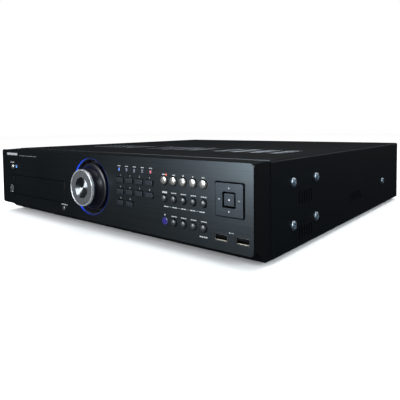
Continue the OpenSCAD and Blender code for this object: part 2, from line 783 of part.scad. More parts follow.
module base_pan() in_row() color("gray") {
  difference() {
    union() {
      block([-pan_x, pan_x], [pan_front, pan_back], [0, sheet_t]);
      block([-pan_x, pan_x], [pan_front, pan_front + sheet_t], [0, pan_top]);
      for (side = [0, 1]) mirror([side, 0, 0])
        block([pan_x - sheet_t, pan_x], [pan_front, pan_back], [0, pan_top]);
    }
    intersection() {
      side_vent_windows(2);
      block([-case_w, case_w], [0, case_d], [sheet_t + 2, case_h]);
    }
    for (s = ear_screws_yz()) rod_x([-case_w, case_w], s[0], s[1], ear_shank_r + screw_gap);
    for (f = foot_places()) rod_z(f[0], f[1], [-1, sheet_t + 1], foot_stem_r);
    block([door_x - drive_w / 2 - drive_hole_gap, door_x + drive_w / 2 + drive_hole_gap],
      [pan_front - 1, pan_front + sheet_t + 1],
      [drive_z - drive_hole_gap, drive_z + drive_h + drive_hole_gap]);
    block([ribbon_x - ribbon_w / 2 - 4, ribbon_x + ribbon_w / 2 + 4],
      [pan_front - 1, pan_front + sheet_t + 1], [ribbon_z - 5, case_h]);
  }
  for (m = main_screws()) difference() {
    rod_z(m[0], m[1], [sheet_t - eps, board_z], standoff_r);
    rod_z(m[0], m[1], [board_z - m3_len, board_z + 1], m3_r);
  }
}

module cover_profile(w, h, r) {
  translate([-w / 2, 0]) square([w, h - r]);
  translate([-w / 2 + r, h - r - 1]) square([w - 2 * r, r + 1]);
  for (i = [-1, 1]) translate([i * (w / 2 - r), h - r]) circle(r);
}

function patch_x(i) = top_patch_x + top_patch_pitch * (i - (top_vent_patches - 1) / 2);
module top_vents() for (p = [0 : top_vent_patches - 1], c = [0 : top_vent_columns - 1],
    row = [0 : top_vent_rows - 1])
  translate([patch_x(p) + top_vent_pitch * (c - (top_vent_columns - 1) / 2),
    top_vent_y + slot_pitch * row, case_h - 2 * sheet_t])
    linear_extrude(3 * sheet_t) slot_2d(top_vent_len, slot_w);

module side_vent_slots() for (v = side_vents, i = [0 : v[2] - 1])
  translate([case_w / 2 - 2 * sheet_t, v[0] + slot_w / 2 + slot_pitch * i, v[1] + v[3] / 2])
    rotate([90, 0, 90]) linear_extrude(3 * sheet_t) rotate(90) slot_2d(v[3], slot_w);

cover_tab_w = 16;
cover_tab_h = 12;
COVER_TABS = [-0.42, 0, 0.42];
module top_cover() in_row() color("darkslategray") {
  difference() {
    translate([0, case_d, 0]) rotate([90, 0, 0]) linear_extrude(case_d - bezel_d)
      difference() {
        cover_profile(case_w, case_h, bend_r);
        translate([0, -1]) cover_profile(case_w - 2 * sheet_t, case_h - sheet_t + 1, bend_r - sheet_t);
      }
    top_vents();
    for (side = [0, 1]) mirror([side, 0, 0]) side_vent_slots();
    for (s = ear_screws_yz()) rod_x([-case_w, case_w], s[0], s[1], ear_shank_r + screw_gap);
  }
  for (t = COVER_TABS) difference() {
    block([case_w * t - cover_tab_w / 2, case_w * t + cover_tab_w / 2],
      [case_d, case_d + sheet_t], [case_h - cover_tab_h, case_h - sheet_t / 2]);
    rod_y(case_w * t, rear_screw_z, m3_r + screw_gap, [case_d - 1, case_d + sheet_t + 1]);
  }
  for (t = COVER_TABS)
    block([case_w * t - cover_tab_w / 2, case_w * t + cover_tab_w / 2],
      [case_d - 1, case_d + sheet_t], [case_h - sheet_t, case_h - eps]);
}

// Rear sockets along the edge of the main board: [distance from the pan's left side, width, height]
lan = [26, 16, 13.6];
data_stack = [50, 14.5, 15.4];
screen_hdmi = [74, 16, 7];
screen_vga = [106, 31, 12.6];
audio_block = [166, 72, 18];
alarm_block = [252, 72, 15];
SOCKETS = [lan, data_stack, screen_hdmi, screen_vga, audio_block, alarm_block];
function socket_x(s) = -pan_x + s[0];
audio_jacks = 5;
audio_pitch = 14;
audio_jack_r = 4.15;
audio_hole_r = 1.6;
audio_z = socket_top + 10;
socket_out = 1;
socket_gap = 0.4;
duct_r = fan_w / 2 - 2;
grille_pitch = 6;
grille_slot = 4;
grille_half = floor((duct_r - grille_slot) / grille_pitch);
fan_screw_in = 5;
fan_screw_at = fan_w / 2 - fan_screw_in;
function fan_screws() = [
  for (i = [-1, 1], j = [-1, 1]) [fan_x + i * fan_screw_at, fan_z + j * fan_screw_at]
];

// The rear panel's top corners are cut off to clear the cover's bends
panel_corner = bend_r - sheet_t;
panel_top = case_h - sheet_t;
module panel_outline() polygon([
  [-pan_x, 0], [pan_x, 0], [pan_x, panel_top - panel_corner], [pan_x - panel_corner, panel_top],
  [panel_corner - pan_x, panel_top], [-pan_x, panel_top - panel_corner]
]);

module rear_panel() in_row() color("darkslategray") {
  difference() {
    translate([0, case_d, 0]) rotate([90, 0, 0]) linear_extrude(sheet_t) panel_outline();
    for (c = [0 : video_columns - 1], z = video_row_z)
      rod_y(video_x(c), z, video_jack_r + jack_hole_gap, [panel_front - 1, case_d + 1]);
    for (s = SOCKETS)
      block([socket_x(s) - s[1] / 2 - socket_gap, socket_x(s) + s[1] / 2 + socket_gap],
        [panel_front - 1, case_d + 1], [socket_top - socket_gap, socket_top + s[2] + socket_gap]);
    for (i = [-grille_half : grille_half])
      let (half = sqrt(pow(duct_r - 1, 2) - pow(grille_pitch * i, 2)))
        centred(fan_x + grille_pitch * i, fan_z, grille_slot, 2 * half, [panel_front - 1, case_d + 1]);
    for (p = fan_screws()) rod_y(p[0], p[1], m3_r + screw_gap, [panel_front - 1, case_d + 1]);
    centred(inlet_x, inlet_z, inlet_w, inlet_h, [panel_front - 1, case_d + 1]);
    for (i = [-1, 1])
      rod_y(inlet_x + i * inlet_screw_x, inlet_z, m3_r + screw_gap, [panel_front - 1, case_d + 1]);
    for (t = COVER_TABS) rod_y(case_w * t, rear_screw_z, m3_r, [panel_front - 1, case_d + 1]);
  }
}

foot_stem_out = 0.8;
module feet() in_row() color("black") for (f = foot_places()) {
  rod_z(f[0], f[1], [-foot_h, 0], foot_r);
  rod_z(f[0], f[1], [-1, sheet_t + foot_stem_out], foot_stem_r);
}

// A screw along z that seats at z = 0: a shank below, and a domed head with a cross recess above
recess_len = 1.1;
recess_w = 0.24;
module screw(head_r, head_h, r, len) difference() {
  rotate_extrude() polygon(concat(
    [[0, -len], [r, -len], [r, 0], [head_r, 0]],
    [for (a = [0 : 15 : 90]) [head_r * cos(a), head_rim + (head_h - head_rim) * sin(a)]]
  ));
  for (a = [45, 135]) translate([0, 0, head_h]) rotate([0, 0, a])
    cube([head_r * recess_len, head_r * recess_w, head_h], center = true);
}
module m3_screw() screw(m3_head_r, m3_head, m3_r, m3_len);
module m3_screw_y(x, y, z) translate([x, y, z]) rotate([-90, 0, 0]) m3_screw();

module ear_screws() in_row() color("lightsteelblue") for (side = [0, 1], s = ear_screws_yz())
  mirror([side, 0, 0]) translate([case_w / 2, s[0], s[1]]) rotate([0, 90, 0])
    screw(ear_screw_r, ear_screw_head, ear_shank_r, ear_shank);

module m3_screws() in_row() color("silver") {
  for (m = main_screws()) translate([m[0], m[1], board_z + board_t]) m3_screw();
  for (b = BOSSES) m3_screw_y(b[0], board_back, b[1]);
  for (t = COVER_TABS) m3_screw_y(case_w * t, case_d + sheet_t, rear_screw_z);
  for (i = [-1, 1]) m3_screw_y(inlet_x + i * inlet_screw_x, case_d + inlet_flange, inlet_z);
  for (p = fan_screws()) m3_screw_y(p[0], case_d, p[1]);
}

// Storage: two stacks of two hard drives in a screwed bracket
hdd_rim = 6;
hdd_end = 20;
hdd_dish = 1;
hdd_plug_x = [-30, 10];
hdd_plug_z = [2, 8];
hdd_plug_depth = 8;
module hard_drive(x, z) difference() {
  block([x - hdd_w / 2, x + hdd_w / 2], [hdd_front, hdd_front + hdd_len], [z, z + hdd_h]);
  block([x - hdd_w / 2 + hdd_rim, x + hdd_w / 2 - hdd_rim],
    [hdd_front + hdd_rim, hdd_front + hdd_len - hdd_end], [z + hdd_h - hdd_dish, z + hdd_h + 1]);
  translate([x, 0, z]) block(hdd_plug_x,
    [hdd_front + hdd_len - hdd_plug_depth, hdd_front + hdd_len + 1], hdd_plug_z);
}
module hard_drives() in_row() color("silver")
  for (i = [0 : hdd_stacks - 1], j = [0 : hdd_levels - 1]) hard_drive(hdd_x(i), hdd_z(j));

hdd_top = hdd_z(hdd_levels - 1) + hdd_h;
bracket_foot = 7;
bracket_strap = [40, 60];
support_w = 12;
support_in = 14;
module drive_bracket() in_row() color("gray") {
  for (i = [0 : hdd_stacks - 1], side = [0, 1]) translate([hdd_x(i), 0, 0]) mirror([side, 0, 0]) {
    block([hdd_w / 2, hdd_w / 2 + bracket_t], [hdd_front, hdd_front + hdd_len], [sheet_t, hdd_top]);
    block([hdd_w / 2 - bracket_foot, hdd_w / 2 + eps], [hdd_front, hdd_front + hdd_len],
      [sheet_t, sheet_t + bracket_t]);
  }
  for (i = [0 : hdd_stacks - 1])
    block([hdd_x(i) - hdd_w / 2 - bracket_t, hdd_x(i) + hdd_w / 2 + bracket_t],
      [hdd_front + bracket_strap[0], hdd_front + bracket_strap[1]], [hdd_top, hdd_top + bracket_t]);
  for (x = [door_x - drive_w / 2 + support_in, door_x + drive_w / 2 - support_in - support_w])
    difference() {
      block([x, x + support_w], [pan_front + 10, drive_front + drive_len - 6], [sheet_t, drive_z]);
      block([x + bracket_t, x + support_w + 1], [pan_front, case_d],
        [sheet_t + bracket_t, drive_z - bracket_t]);
    }
}

// Main board, with its processor under a finned heat sink
cpu_x = 190;
cpu_y = 90;
sink_w = 40;
sink_base = 4;
sink_h = 16;
sink_fins = 9;
fin_t = 1.5;
ribbon_socket_y = 20;
ribbon_socket_d = 7;
ribbon_socket_h = 7;
coin_cell = [160, 60];
coin_cell_r = 10;
coin_cell_h = 4;
// Blocks on the board: [x, y, width, depth, height], from the board's front left corner
BOARD_BLOCKS = concat(
  [[cpu_x, cpu_y, sink_w, sink_w, sink_base]],
  [for (i = [0 : sink_fins - 1])
    [cpu_x + i * (sink_w - fin_t) / (sink_fins - 1), cpu_y, fin_t, sink_w, sink_h]],
  [for (i = [0 : 3]) [30 + 34 * i, 110, 18, 18, 2]],
  [for (i = [0 : 3]) [cpu_x + 52, 70 + 18 * i, 12, 14, 1.2]],
  [for (i = [0 : 3]) [40 + 20 * i, 4, 16, 8, 8]]
);
module main_board() in_row() color("darkgreen") {
  difference() {
    block([main_x, main_x + main_w], [main_front, main_back], [board_z, board_z + board_t]);
    for (m = main_screws())
      rod_z(m[0], m[1], [board_z - 1, board_z + board_t + 1], m3_r + screw_gap);
  }
  translate([main_x, main_front, socket_top]) {
    for (b = BOARD_BLOCKS) block([b[0], b[0] + b[2]], [b[1], b[1] + b[3]], [-eps, b[4]]);
    rod_z(coin_cell[0], coin_cell[1], [-eps, coin_cell_h], coin_cell_r);
  }
  block([ribbon_x - ribbon_w / 2 - 3, ribbon_x + ribbon_w / 2 + 3],
    [main_front + ribbon_socket_y, main_front + ribbon_socket_y + ribbon_socket_d],
    [socket_top - eps, socket_top + ribbon_socket_h]);
}

// A flat ribbon joins the two boards over the hard drives
ribbon_t = 1;
ribbon_back = main_front + ribbon_socket_y + 4;
module ribbon_cable() in_row() color("lightgray") {
  block([ribbon_x - ribbon_w / 2, ribbon_x + ribbon_w / 2], [board_back, ribbon_back],
    [ribbon_z, ribbon_z + ribbon_t]);
  block([ribbon_x - ribbon_w / 2, ribbon_x + ribbon_w / 2], [ribbon_back - ribbon_t, ribbon_back],
    [socket_top + ribbon_socket_h, ribbon_z + eps]);
}

psu_wall = 1;
psu_slots = 16;
psu_slot_in = 15;
psu_slot_first = 25;
psu_slot_w = 4;
psu_slot_pitch = 9;
psu_front = psu_back - psu_len;
psu_top = sheet_t + psu_h;
module power_supply() in_row() color("silver") difference() {
  block([psu_x, psu_x + psu_w], [psu_front, psu_back], [sheet_t, psu_top]);
  block([psu_x + psu_wall, psu_x + psu_w - psu_wall], [psu_front + psu_wall, psu_back - psu_wall],
    [sheet_t + psu_wall, psu_top - psu_wall]);
  for (i = [0 : psu_slots - 1]) translate([0, psu_front + psu_slot_first + psu_slot_pitch * i, 0])
    block([psu_x + psu_slot_in, psu_x + psu_w - psu_slot_in], [0, psu_slot_w],
      [psu_top - 2 * psu_wall, psu_top + 1]);
}

// Fan: its rotor's pin turns in the frame's hub
fan_front = panel_front - fan_t;
hub_t = 3;
hub_gap = 0.5;
arm_t = 2.5;
arm_w = 4;
blade_t = 1.2;
blade_w = 18;
blade_turn = 40;
blade_in = 4;
rotor_front = fan_front + hub_t + hub_gap;
rotor_back = panel_front - 2;
module fan_frame() in_row() color("black") {
  difference() {
    centred(fan_x, fan_z, fan_w, fan_w, [fan_front, panel_front]);
    rod_y(fan_x, fan_z, duct_r, [fan_front - 1, panel_front + 1]);
    for (p = fan_screws()) rod_y(p[0], p[1], m3_r, [panel_front - m3_len, panel_front + 1]);
  }
  difference() {
    union() {
      rod_y(fan_x, fan_z, fan_hub_r, [fan_front, fan_front + hub_t]);
      for (a = [30, 150, 270]) translate([fan_x, fan_front, fan_z]) rotate([0, a, 0])
        translate([fan_hub_r - 1, 0, -arm_w / 2]) cube([duct_r - fan_hub_r + 2, arm_t, arm_w]);
    }
    rod_y(fan_x, fan_z, fan_pin_r + turn_fit, [fan_front - 1, fan_front + hub_t + 1]);
  }
}

module fan_rotor() in_row() color("dimgray") {
  rod_y(fan_x, fan_z, fan_hub_r, [rotor_front, rotor_back]);
  rod_y(fan_x, fan_z, fan_pin_r, [fan_front + hub_gap, rotor_front + hub_gap]);
  intersection() {
    rod_y(fan_x, fan_z, duct_r - 1, [rotor_front + hub_gap, rotor_back - hub_gap]);
    for (i = [0 : fan_blades - 1]) translate([fan_x, (fan_front + panel_front) / 2 + 1, fan_z])
      rotate([0, 360 * i / fan_blades, 0]) translate([duct_r / 2 + blade_in, 0, 0])
        rotate([blade_turn, 0, 0]) cube([duct_r, blade_w, blade_t], center = true);
  }
}

// Video jacks: a bayonet barrel in front of the panel, a nut against it and a body behind
video_end = case_d + video_jack_out;
module video_jack(x, z) {
  turned_y(x, z) polygon([
    [0, panel_front - video_body_len], [video_body_r, panel_front - video_body_len],
    [video_body_r, panel_front], [video_jack_r, panel_front], [video_jack_r, case_d],
    [video_flange_r, case_d], [video_flange_r, case_d + video_nut_t],
    [video_jack_r, case_d + video_nut_t], [video_jack_r, video_end], [video_bore_r, video_end],
    [video_bore_r, case_d + video_bore_front], [video_pin_r, case_d + video_bore_front],
    [video_pin_r, video_end - video_pin_in], [0, video_end - video_pin_in]
  ]);
  for (side = [-1, 1]) translate([0, 0, side * video_jack_r])
    rod_z(x, video_end - video_lug_in, [z - video_lug_len / 2, z + video_lug_len / 2], video_lug_r);
}
module video_jacks() in_row() color("silver")
  for (c = [0 : video_columns - 1], z = video_row_z) video_jack(video_x(c), z);

// A block that a socket of the main board takes up, from a depth behind its face to that face
socket_face = case_d + socket_out;
module socket_block(s, depth) {
  block([socket_x(s) - s[1] / 2, socket_x(s) + s[1] / 2], [socket_face - depth, socket_face],
    [socket_top, socket_top + s[2]]);
}
module socket_shell(s, depth, wall, hole_depth) difference() {
  socket_block(s, depth);
  block([socket_x(s) - s[1] / 2 + wall, socket_x(s) + s[1] / 2 - wall],
    [socket_face - hole_depth, socket_face + 1], [socket_top + wall, socket_top + s[2] - wall]);
}

// Two data sockets in one shell, each with its tongue: levels above the board
data_hole_w = 12.4;
data_hole_z = [1.2, 6.3];
data_tongue_w = 11.2;
data_tongue_z = [3.6, 5.5];
data_level = 7.6;
data_hole_depth = 12;
module data_sockets() {
  x = socket_x(data_stack);
  difference() {
    socket_block(data_stack, 17);
    for (i = [0, 1]) translate([x, 0, socket_top + data_level * i])
      block([-data_hole_w / 2, data_hole_w / 2], [socket_face - data_hole_depth, socket_face + 1],
        data_hole_z);
  }
  for (i = [0, 1]) translate([x, 0, socket_top + data_level * i])
    block([-data_tongue_w / 2, data_tongue_w / 2],
      [socket_face - data_hole_depth - 0.5, socket_face - 1], data_tongue_z);
}

hdmi_tongue_w = 11;
hdmi_tongue_z = [2.8, 4.2];
hdmi_depth = 9;
module hdmi_socket() {
  socket_shell(screen_hdmi, 12, 0.7, hdmi_depth);
  translate([socket_x(screen_hdmi), 0, socket_top])
    block([-hdmi_tongue_w / 2, hdmi_tongue_w / 2], [socket_face - hdmi_depth - 0.5, socket_face - 1],
      hdmi_tongue_z);
}

vga_nose_w = 17;
vga_nose_h = 8.4;
vga_nose_out = 6;
module vga_socket() {
  socket_block(screen_vga, 14);
  rounded_y(socket_x(screen_vga), socket_top + screen_vga[2] / 2, vga_nose_w, vga_nose_h, 2.5,
    [socket_face - eps, case_d + vga_nose_out]);
}

// Each audio jack is a sleeve of its own in front of its block
audio_out = 9.5;
sleeve_gap = 0.02;
function audio_x(i) = socket_x(audio_block) + audio_pitch * (i - (audio_jacks - 1) / 2);
module audio_sockets() {
  socket_block(audio_block, 14);
  for (i = [0 : audio_jacks - 1]) difference() {
    rod_y(audio_x(i), audio_z, audio_jack_r, [socket_face + sleeve_gap, case_d + audio_out]);
    rod_y(audio_x(i), audio_z, audio_hole_r, [case_d, case_d + audio_out + 1]);
  }
}

alarm_pitch = 5.08;
alarm_ways = 14;
alarm_out = 7;
alarm_hole_w = 3.6;
alarm_hole_z = [2, 6.5];
alarm_hole_depth = 5;
module alarm_terminals() difference() {
  translate([0, alarm_out, 0]) socket_block(alarm_block, 12 + alarm_out);
  for (i = [0 : alarm_ways - 1])
    translate([socket_x(alarm_block) + alarm_pitch * (i - (alarm_ways - 1) / 2), 0, socket_top])
      block([-alarm_hole_w / 2, alarm_hole_w / 2],
        [socket_face + alarm_out - alarm_hole_depth, socket_face + alarm_out + 1], alarm_hole_z);
}

module rear_sockets() in_row() color("silver") {
  socket_shell(lan, 21, 2.1, 13);
  data_sockets();
  hdmi_socket();
  vga_socket();
  audio_sockets();
  alarm_terminals();
}

module ac_inlet() in_row() color("black") {
  difference() {
    union() {
      centred(inlet_x, inlet_z, inlet_w, inlet_h, [case_d - inlet_depth, case_d + eps]);
      rounded_y(inlet_x, inlet_z, inlet_flange_w, inlet_flange_h, 4, [case_d, case_d + inlet_flange]);
    }
    centred(inlet_x, inlet_z, inlet_w - 2 * inlet_wall, inlet_h - 2 * inlet_wall,
      [case_d - inlet_depth + inlet_floor, case_d + inlet_flange + 1]);
    for (i = [-1, 1]) rod_y(inlet_x + i * inlet_screw_x, inlet_z, m3_r + screw_gap,
      [case_d - 1, case_d + inlet_flange + 1]);
  }
  for (i = [-1 : 1]) centred(inlet_x + inlet_pin_x * i, inlet_z + inlet_pin_z * (i == 0 ? 1 : -1), 2, 4,
    [case_d - inlet_depth + inlet_floor - 1, case_d - 3]);
}

base_pan();
top_cover();
rear_panel();
front_bezel();
front_plate();
feet();
ear_screws();
m3_screws();
jog_knob();
jog_rim();
jog_cap();
shuttle_ring();
dial_cup();
dial_light_ring();
dial_encoder();
number_key(0);  // number_key_1
number_key(1);  // number_key_2
number_key(2);  // number_key_3
number_key(3);  // number_key_4
number_key(4);  // number_key_5
number_key(5);  // number_key_6
number_key(6);  // number_key_7
number_key(7);  // number_key_8
number_key(8);  // number_key_9
number_key(9);  // number_key_0
transport_button(0);  // record_button
transport_button(1);  // rewind_button
transport_button(2);  // stop_button
transport_button(3);  // play_button
transport_button(4);  // forward_button
function_button(0);  // function_button_1
function_button(1);  // function_button_2
function_button(2);  // function_button_3
function_button(3);  // function_button_4
function_button(4);  // function_button_5
menu_row_button(1);  // mode_button
menu_row_button(2);  // audio_button
menu_row_button(3);  // alarm_button
menu_row_button(4);  // menu_button
nav_pad();
nav_web();
enter_button();
power_button();
eject_button();
light_guides();
usb_ports();
front_board();
disc_door();
disc_tray();
disc_drive();
hard_drives();
drive_bracket();
main_board();
ribbon_cable();
power_supply();
fan_frame();
fan_rotor();
video_jacks();
rear_sockets();
ac_inlet();
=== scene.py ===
# Looks of the video recorder: procedural finishes on every CAD node, rounded edges on the pieces
# that catch the light, the small printed, lit and plated details that the CAD leaves out, and painted
# shade and highlights round openings and edges.
import json
import math

import bmesh
import bpy
from mathutils import Matrix, Vector


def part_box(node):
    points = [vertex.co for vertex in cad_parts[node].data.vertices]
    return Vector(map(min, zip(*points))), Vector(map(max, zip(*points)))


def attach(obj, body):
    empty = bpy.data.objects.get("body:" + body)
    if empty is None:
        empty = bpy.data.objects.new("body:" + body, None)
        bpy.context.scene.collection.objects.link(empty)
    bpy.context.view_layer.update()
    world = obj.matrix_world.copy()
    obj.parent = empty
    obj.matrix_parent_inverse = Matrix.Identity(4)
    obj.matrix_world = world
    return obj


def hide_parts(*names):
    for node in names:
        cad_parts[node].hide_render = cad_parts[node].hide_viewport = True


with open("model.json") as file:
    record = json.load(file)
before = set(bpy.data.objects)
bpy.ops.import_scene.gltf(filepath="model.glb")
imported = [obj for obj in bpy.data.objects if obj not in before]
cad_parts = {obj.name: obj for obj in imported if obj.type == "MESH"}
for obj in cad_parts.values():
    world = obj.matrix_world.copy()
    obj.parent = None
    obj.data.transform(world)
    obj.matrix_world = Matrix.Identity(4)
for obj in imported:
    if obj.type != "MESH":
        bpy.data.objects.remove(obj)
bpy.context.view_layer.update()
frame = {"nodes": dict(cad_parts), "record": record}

MM = 0.001
NODES = frame["nodes"]
RECORD = frame["record"]
SLOT_OF = {part["node"]: part["material_slot"] for part in RECORD["subparts"]}
BODY_OF = {node: body for body, nodes in RECORD["behaviour"]["bodies"].items() for node in nodes}

# The y of the front plate's face, and the level of the case's underside
FACE_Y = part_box("front_plate")[0].y
UNDER_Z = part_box("top_cover")[0].z


def middle(node):
    low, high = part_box(node)
    return (low + high) / 2


# ---------------------------------------------------------------- materials

class Finish:
    """A material whose colour, roughness and bump come from nodes in object space."""

    def __init__(self, name, rough=0.5, metallic=0.0, **sockets):
        self.material = bpy.data.materials.new(name)
        self.material.use_nodes = True
        self.tree = self.material.node_tree
        self.shader = next(n for n in self.tree.nodes if n.type == "BSDF_PRINCIPLED")
        self.set(self.shader, Roughness=rough, Metallic=metallic)
        for socket, value in sockets.items():
            self.shader.inputs[socket.replace("_", " ")].default_value = value
        self.place = self.tree.nodes.new("ShaderNodeTexCoord").outputs["Object"]

    def set(self, node, **values):
        for name, value in values.items():
            node.inputs[name].default_value = value

    def node(self, kind, **values):
        made = self.tree.nodes.new(kind)
        for name, value in values.items():
            setattr(made, name, value)
        return made

    def link(self, source, target):
        self.tree.links.new(source, target)
        return target

    def stretched(self, scale):
        """Object coordinates, scaled by a different factor on each axis."""
        mapping = self.node("ShaderNodeMapping")
        mapping.inputs["Scale"].default_value = scale
        self.link(self.place, mapping.inputs["Vector"])
        return mapping.outputs["Vector"]

    def noise(self, scale, detail=3.0, rough=0.55):
        """Noise from 0 to 1; scale is in cycles per metre on each axis."""
        texture = self.node("ShaderNodeTexNoise")
        self.set(texture, Scale=1.0, Detail=detail, Roughness=rough)
        self.link(self.stretched(scale), texture.inputs["Vector"])
        return texture.outputs["Fac"]

    def cells(self, scale, feature="F1"):
        texture = self.node("ShaderNodeTexVoronoi", feature=feature)
        self.set(texture, Scale=1.0)
        self.link(self.stretched(scale), texture.inputs["Vector"])
        return texture.outputs["Distance"]

    def spread(self, value, low, high, start=0.3, end=0.7):
        """Maps start..end of a pattern to low..high."""
        remap = self.node("ShaderNodeMapRange")
        self.link(value, remap.inputs["Value"])
        for name, number in zip(("From Min", "From Max", "To Min", "To Max"), (start, end, low, high)):
            remap.inputs[name].default_value = number
        return remap.outputs["Result"]

    def blend(self, factor, first, second):
        """A colour between two colours; either may be a tuple or another pattern's output."""
        mix = self.node("ShaderNodeMix", data_type="RGBA")
        self.link(factor, mix.inputs["Factor"])
        for socket, colour in ((mix.inputs[6], first), (mix.inputs[7], second)):
            if isinstance(colour, tuple):
                socket.default_value = (*colour, 1.0)
            else:
                self.link(colour, socket)
        return mix.outputs[2]

    def paint(self, colour):
        self.link(colour, self.shader.inputs["Base Color"])
        return self

    def roughen(self, value):
        self.link(value, self.shader.inputs["Roughness"])
        return self

    def bump(self, height, depth, strength=1.0):
        relief = self.node("ShaderNodeBump")
        self.set(relief, Strength=strength, Distance=depth)
        self.link(height, relief.inputs["Height"])
        self.link(relief.outputs["Normal"], self.shader.inputs["Normal"])
        return self


def even(cycles):
    return (cycles, cycles, cycles)


def shade(colour, factor):
    return tuple(min(1.0, part * factor) for part in colour)


def powder_coat(name, colour, rough):
    """Satin black coat on sheet steel: fine pebbled skin and faint uneven gloss."""
    f = Finish(name, rough, Specular_IOR_Level=0.25)
    pebble = f.noise(even(1400.0), 2.0)
    cloud = f.noise(even(9.0), 4.0)
    f.paint(f.blend(f.spread(pebble, 0.0, 1.0), shade(colour, 0.82), shade(colour, 1.25)))
    f.roughen(f.spread(cloud, rough - 0.04, rough + 0.05, 0.0, 1.0))
    return f.bump(pebble, 0.00003, 0.5)


def moulded(name, colour, rough, grain=2200.0, depth=0.00002, shine=0.4):
    """Moulded plastic with an even eroded grain."""
    f = Finish(name, rough, Specular_IOR_Level=shine)
    skin = f.noise(even(grain), 2.0)
    cloud = f.noise(even(30.0), 3.0)
    f.paint(f.blend(f.spread(cloud, 0.0, 1.0), shade(colour, 0.9), shade(colour, 1.12)))
    f.roughen(f.spread(skin, rough - 0.06, rough + 0.08))
    return f.bump(skin, depth, 0.6)


def brushed(name, colour, rough, scale, depth=0.000015, metallic=1.0):
    """Metal brushed along the axis where scale is small."""
    f = Finish(name, rough, metallic)
    hair = f.noise(scale, 3.0, 0.7)
    streak = f.noise(tuple(part / 6 for part in scale), 2.0)
    cloud = f.noise(even(7.0), 3.0)
    fine = f.blend(f.spread(hair, 0.0, 1.0), shade(colour, 0.72), shade(colour, 1.3))
    f.paint(f.blend(f.spread(streak, 0.0, 0.5, 0.1, 0.9), fine, shade(colour, 0.85)))
    f.roughen(f.spread(cloud, rough - 0.04, rough + 0.06, 0.0, 1.0))
    return f.bump(hair, depth, 0.7)


def plated(name, colour, rough, metallic=1.0):
    """Plated or polished metal with faint handling marks."""
    f = Finish(name, rough, metallic)
    mark = f.noise(even(420.0), 4.0)
    cloud = f.noise(even(60.0), 3.0)
    f.paint(f.blend(f.spread(cloud, 0.0, 1.0), shade(colour, 0.86), shade(colour, 1.06)))
    f.roughen(f.spread(mark, rough * 0.75, rough * 1.35))
    return f.bump(mark, 0.000006, 0.4)


def glossy(name, colour, rough, coat=0.0, metallic=0.0):
    """Smooth glossy moulding with a faint flow pattern in its colour."""
    f = Finish(name, rough, metallic, Coat_Weight=coat, Coat_Roughness=0.04)
    flow = f.noise(even(45.0), 3.0)
    f.paint(f.blend(f.spread(flow, 0.0, 1.0), shade(colour, 0.85), shade(colour, 1.15)))
    f.roughen(f.spread(f.noise(even(700.0)), rough * 0.8, rough * 1.3))
    return f.bump(f.noise(even(260.0), 2.0), 0.000008, 0.3)


def lit(name, colour, strength, dark):
    """A lamp behind a frosted lens: it glows unevenly, brighter in some spots than in others."""
    f = Finish(name, 0.3, 0.0, Emission_Strength=strength)
    glow = f.spread(f.noise(even(260.0), 2.0), 0.0, 1.0, 0.25, 0.6)
    f.link(f.blend(glow, shade(colour, dark), colour), f.shader.inputs["Emission Color"])
    return f.paint(f.blend(glow, shade(colour, 0.1), shade(colour, 0.2)))


def printed(name, colour):
    """Screen-printed ink: matt, with the slight speckle of a thin coat."""
    f = Finish(name, 0.62)
    speck = f.noise(even(5200.0), 2.0)
    f.paint(f.blend(f.spread(speck, 0.0, 1.0), shade(colour, 0.78), colour))
    return f.roughen(f.spread(speck, 0.5, 0.7))


def solder_mask(name):
    """Circuit board: green mask over copper tracks, with bare spots."""
    f = Finish(name, 0.35, Specular_IOR_Level=0.5)
    tracks = f.cells(even(210.0), "DISTANCE_TO_EDGE")
    track = f.spread(tracks, 1.0, 0.0, 0.04, 0.09)
    pads = f.spread(f.cells(even(420.0)), 1.0, 0.0, 0.1, 0.14)
    mask = f.blend(track, (0.006, 0.07, 0.03), (0.015, 0.15, 0.06))
    f.paint(f.blend(pads, mask, (0.55, 0.5, 0.4)))
    f.roughen(f.spread(f.noise(even(300.0)), 0.28, 0.5))
    return f.bump(track, 0.00003, 0.5)


def clear_plastic(name):
    f = Finish(name, 0.18, Transmission_Weight=0.85, IOR=1.49)
    cloud = f.noise(even(120.0), 2.0)
    f.paint(f.blend(f.spread(cloud, 0.0, 1.0), (0.55, 0.62, 0.75), (0.75, 0.8, 0.9)))
    return f.roughen(f.spread(cloud, 0.12, 0.3))


def from_axis(f, centre):
    """Distance from a line along y through centre."""
    shift = f.node("ShaderNodeVectorMath", operation="SUBTRACT")
    shift.inputs[1].default_value = centre
    f.link(f.place, shift.inputs[0])
    flat = f.node("ShaderNodeVectorMath", operation="MULTIPLY")
    flat.inputs[1].default_value = (1.0, 0.0, 1.0)
    f.link(shift.outputs[0], flat.inputs[0])
    length = f.node("ShaderNodeVectorMath", operation="LENGTH")
    f.link(flat.outputs[0], length.inputs[0])
    return length.outputs["Value"]


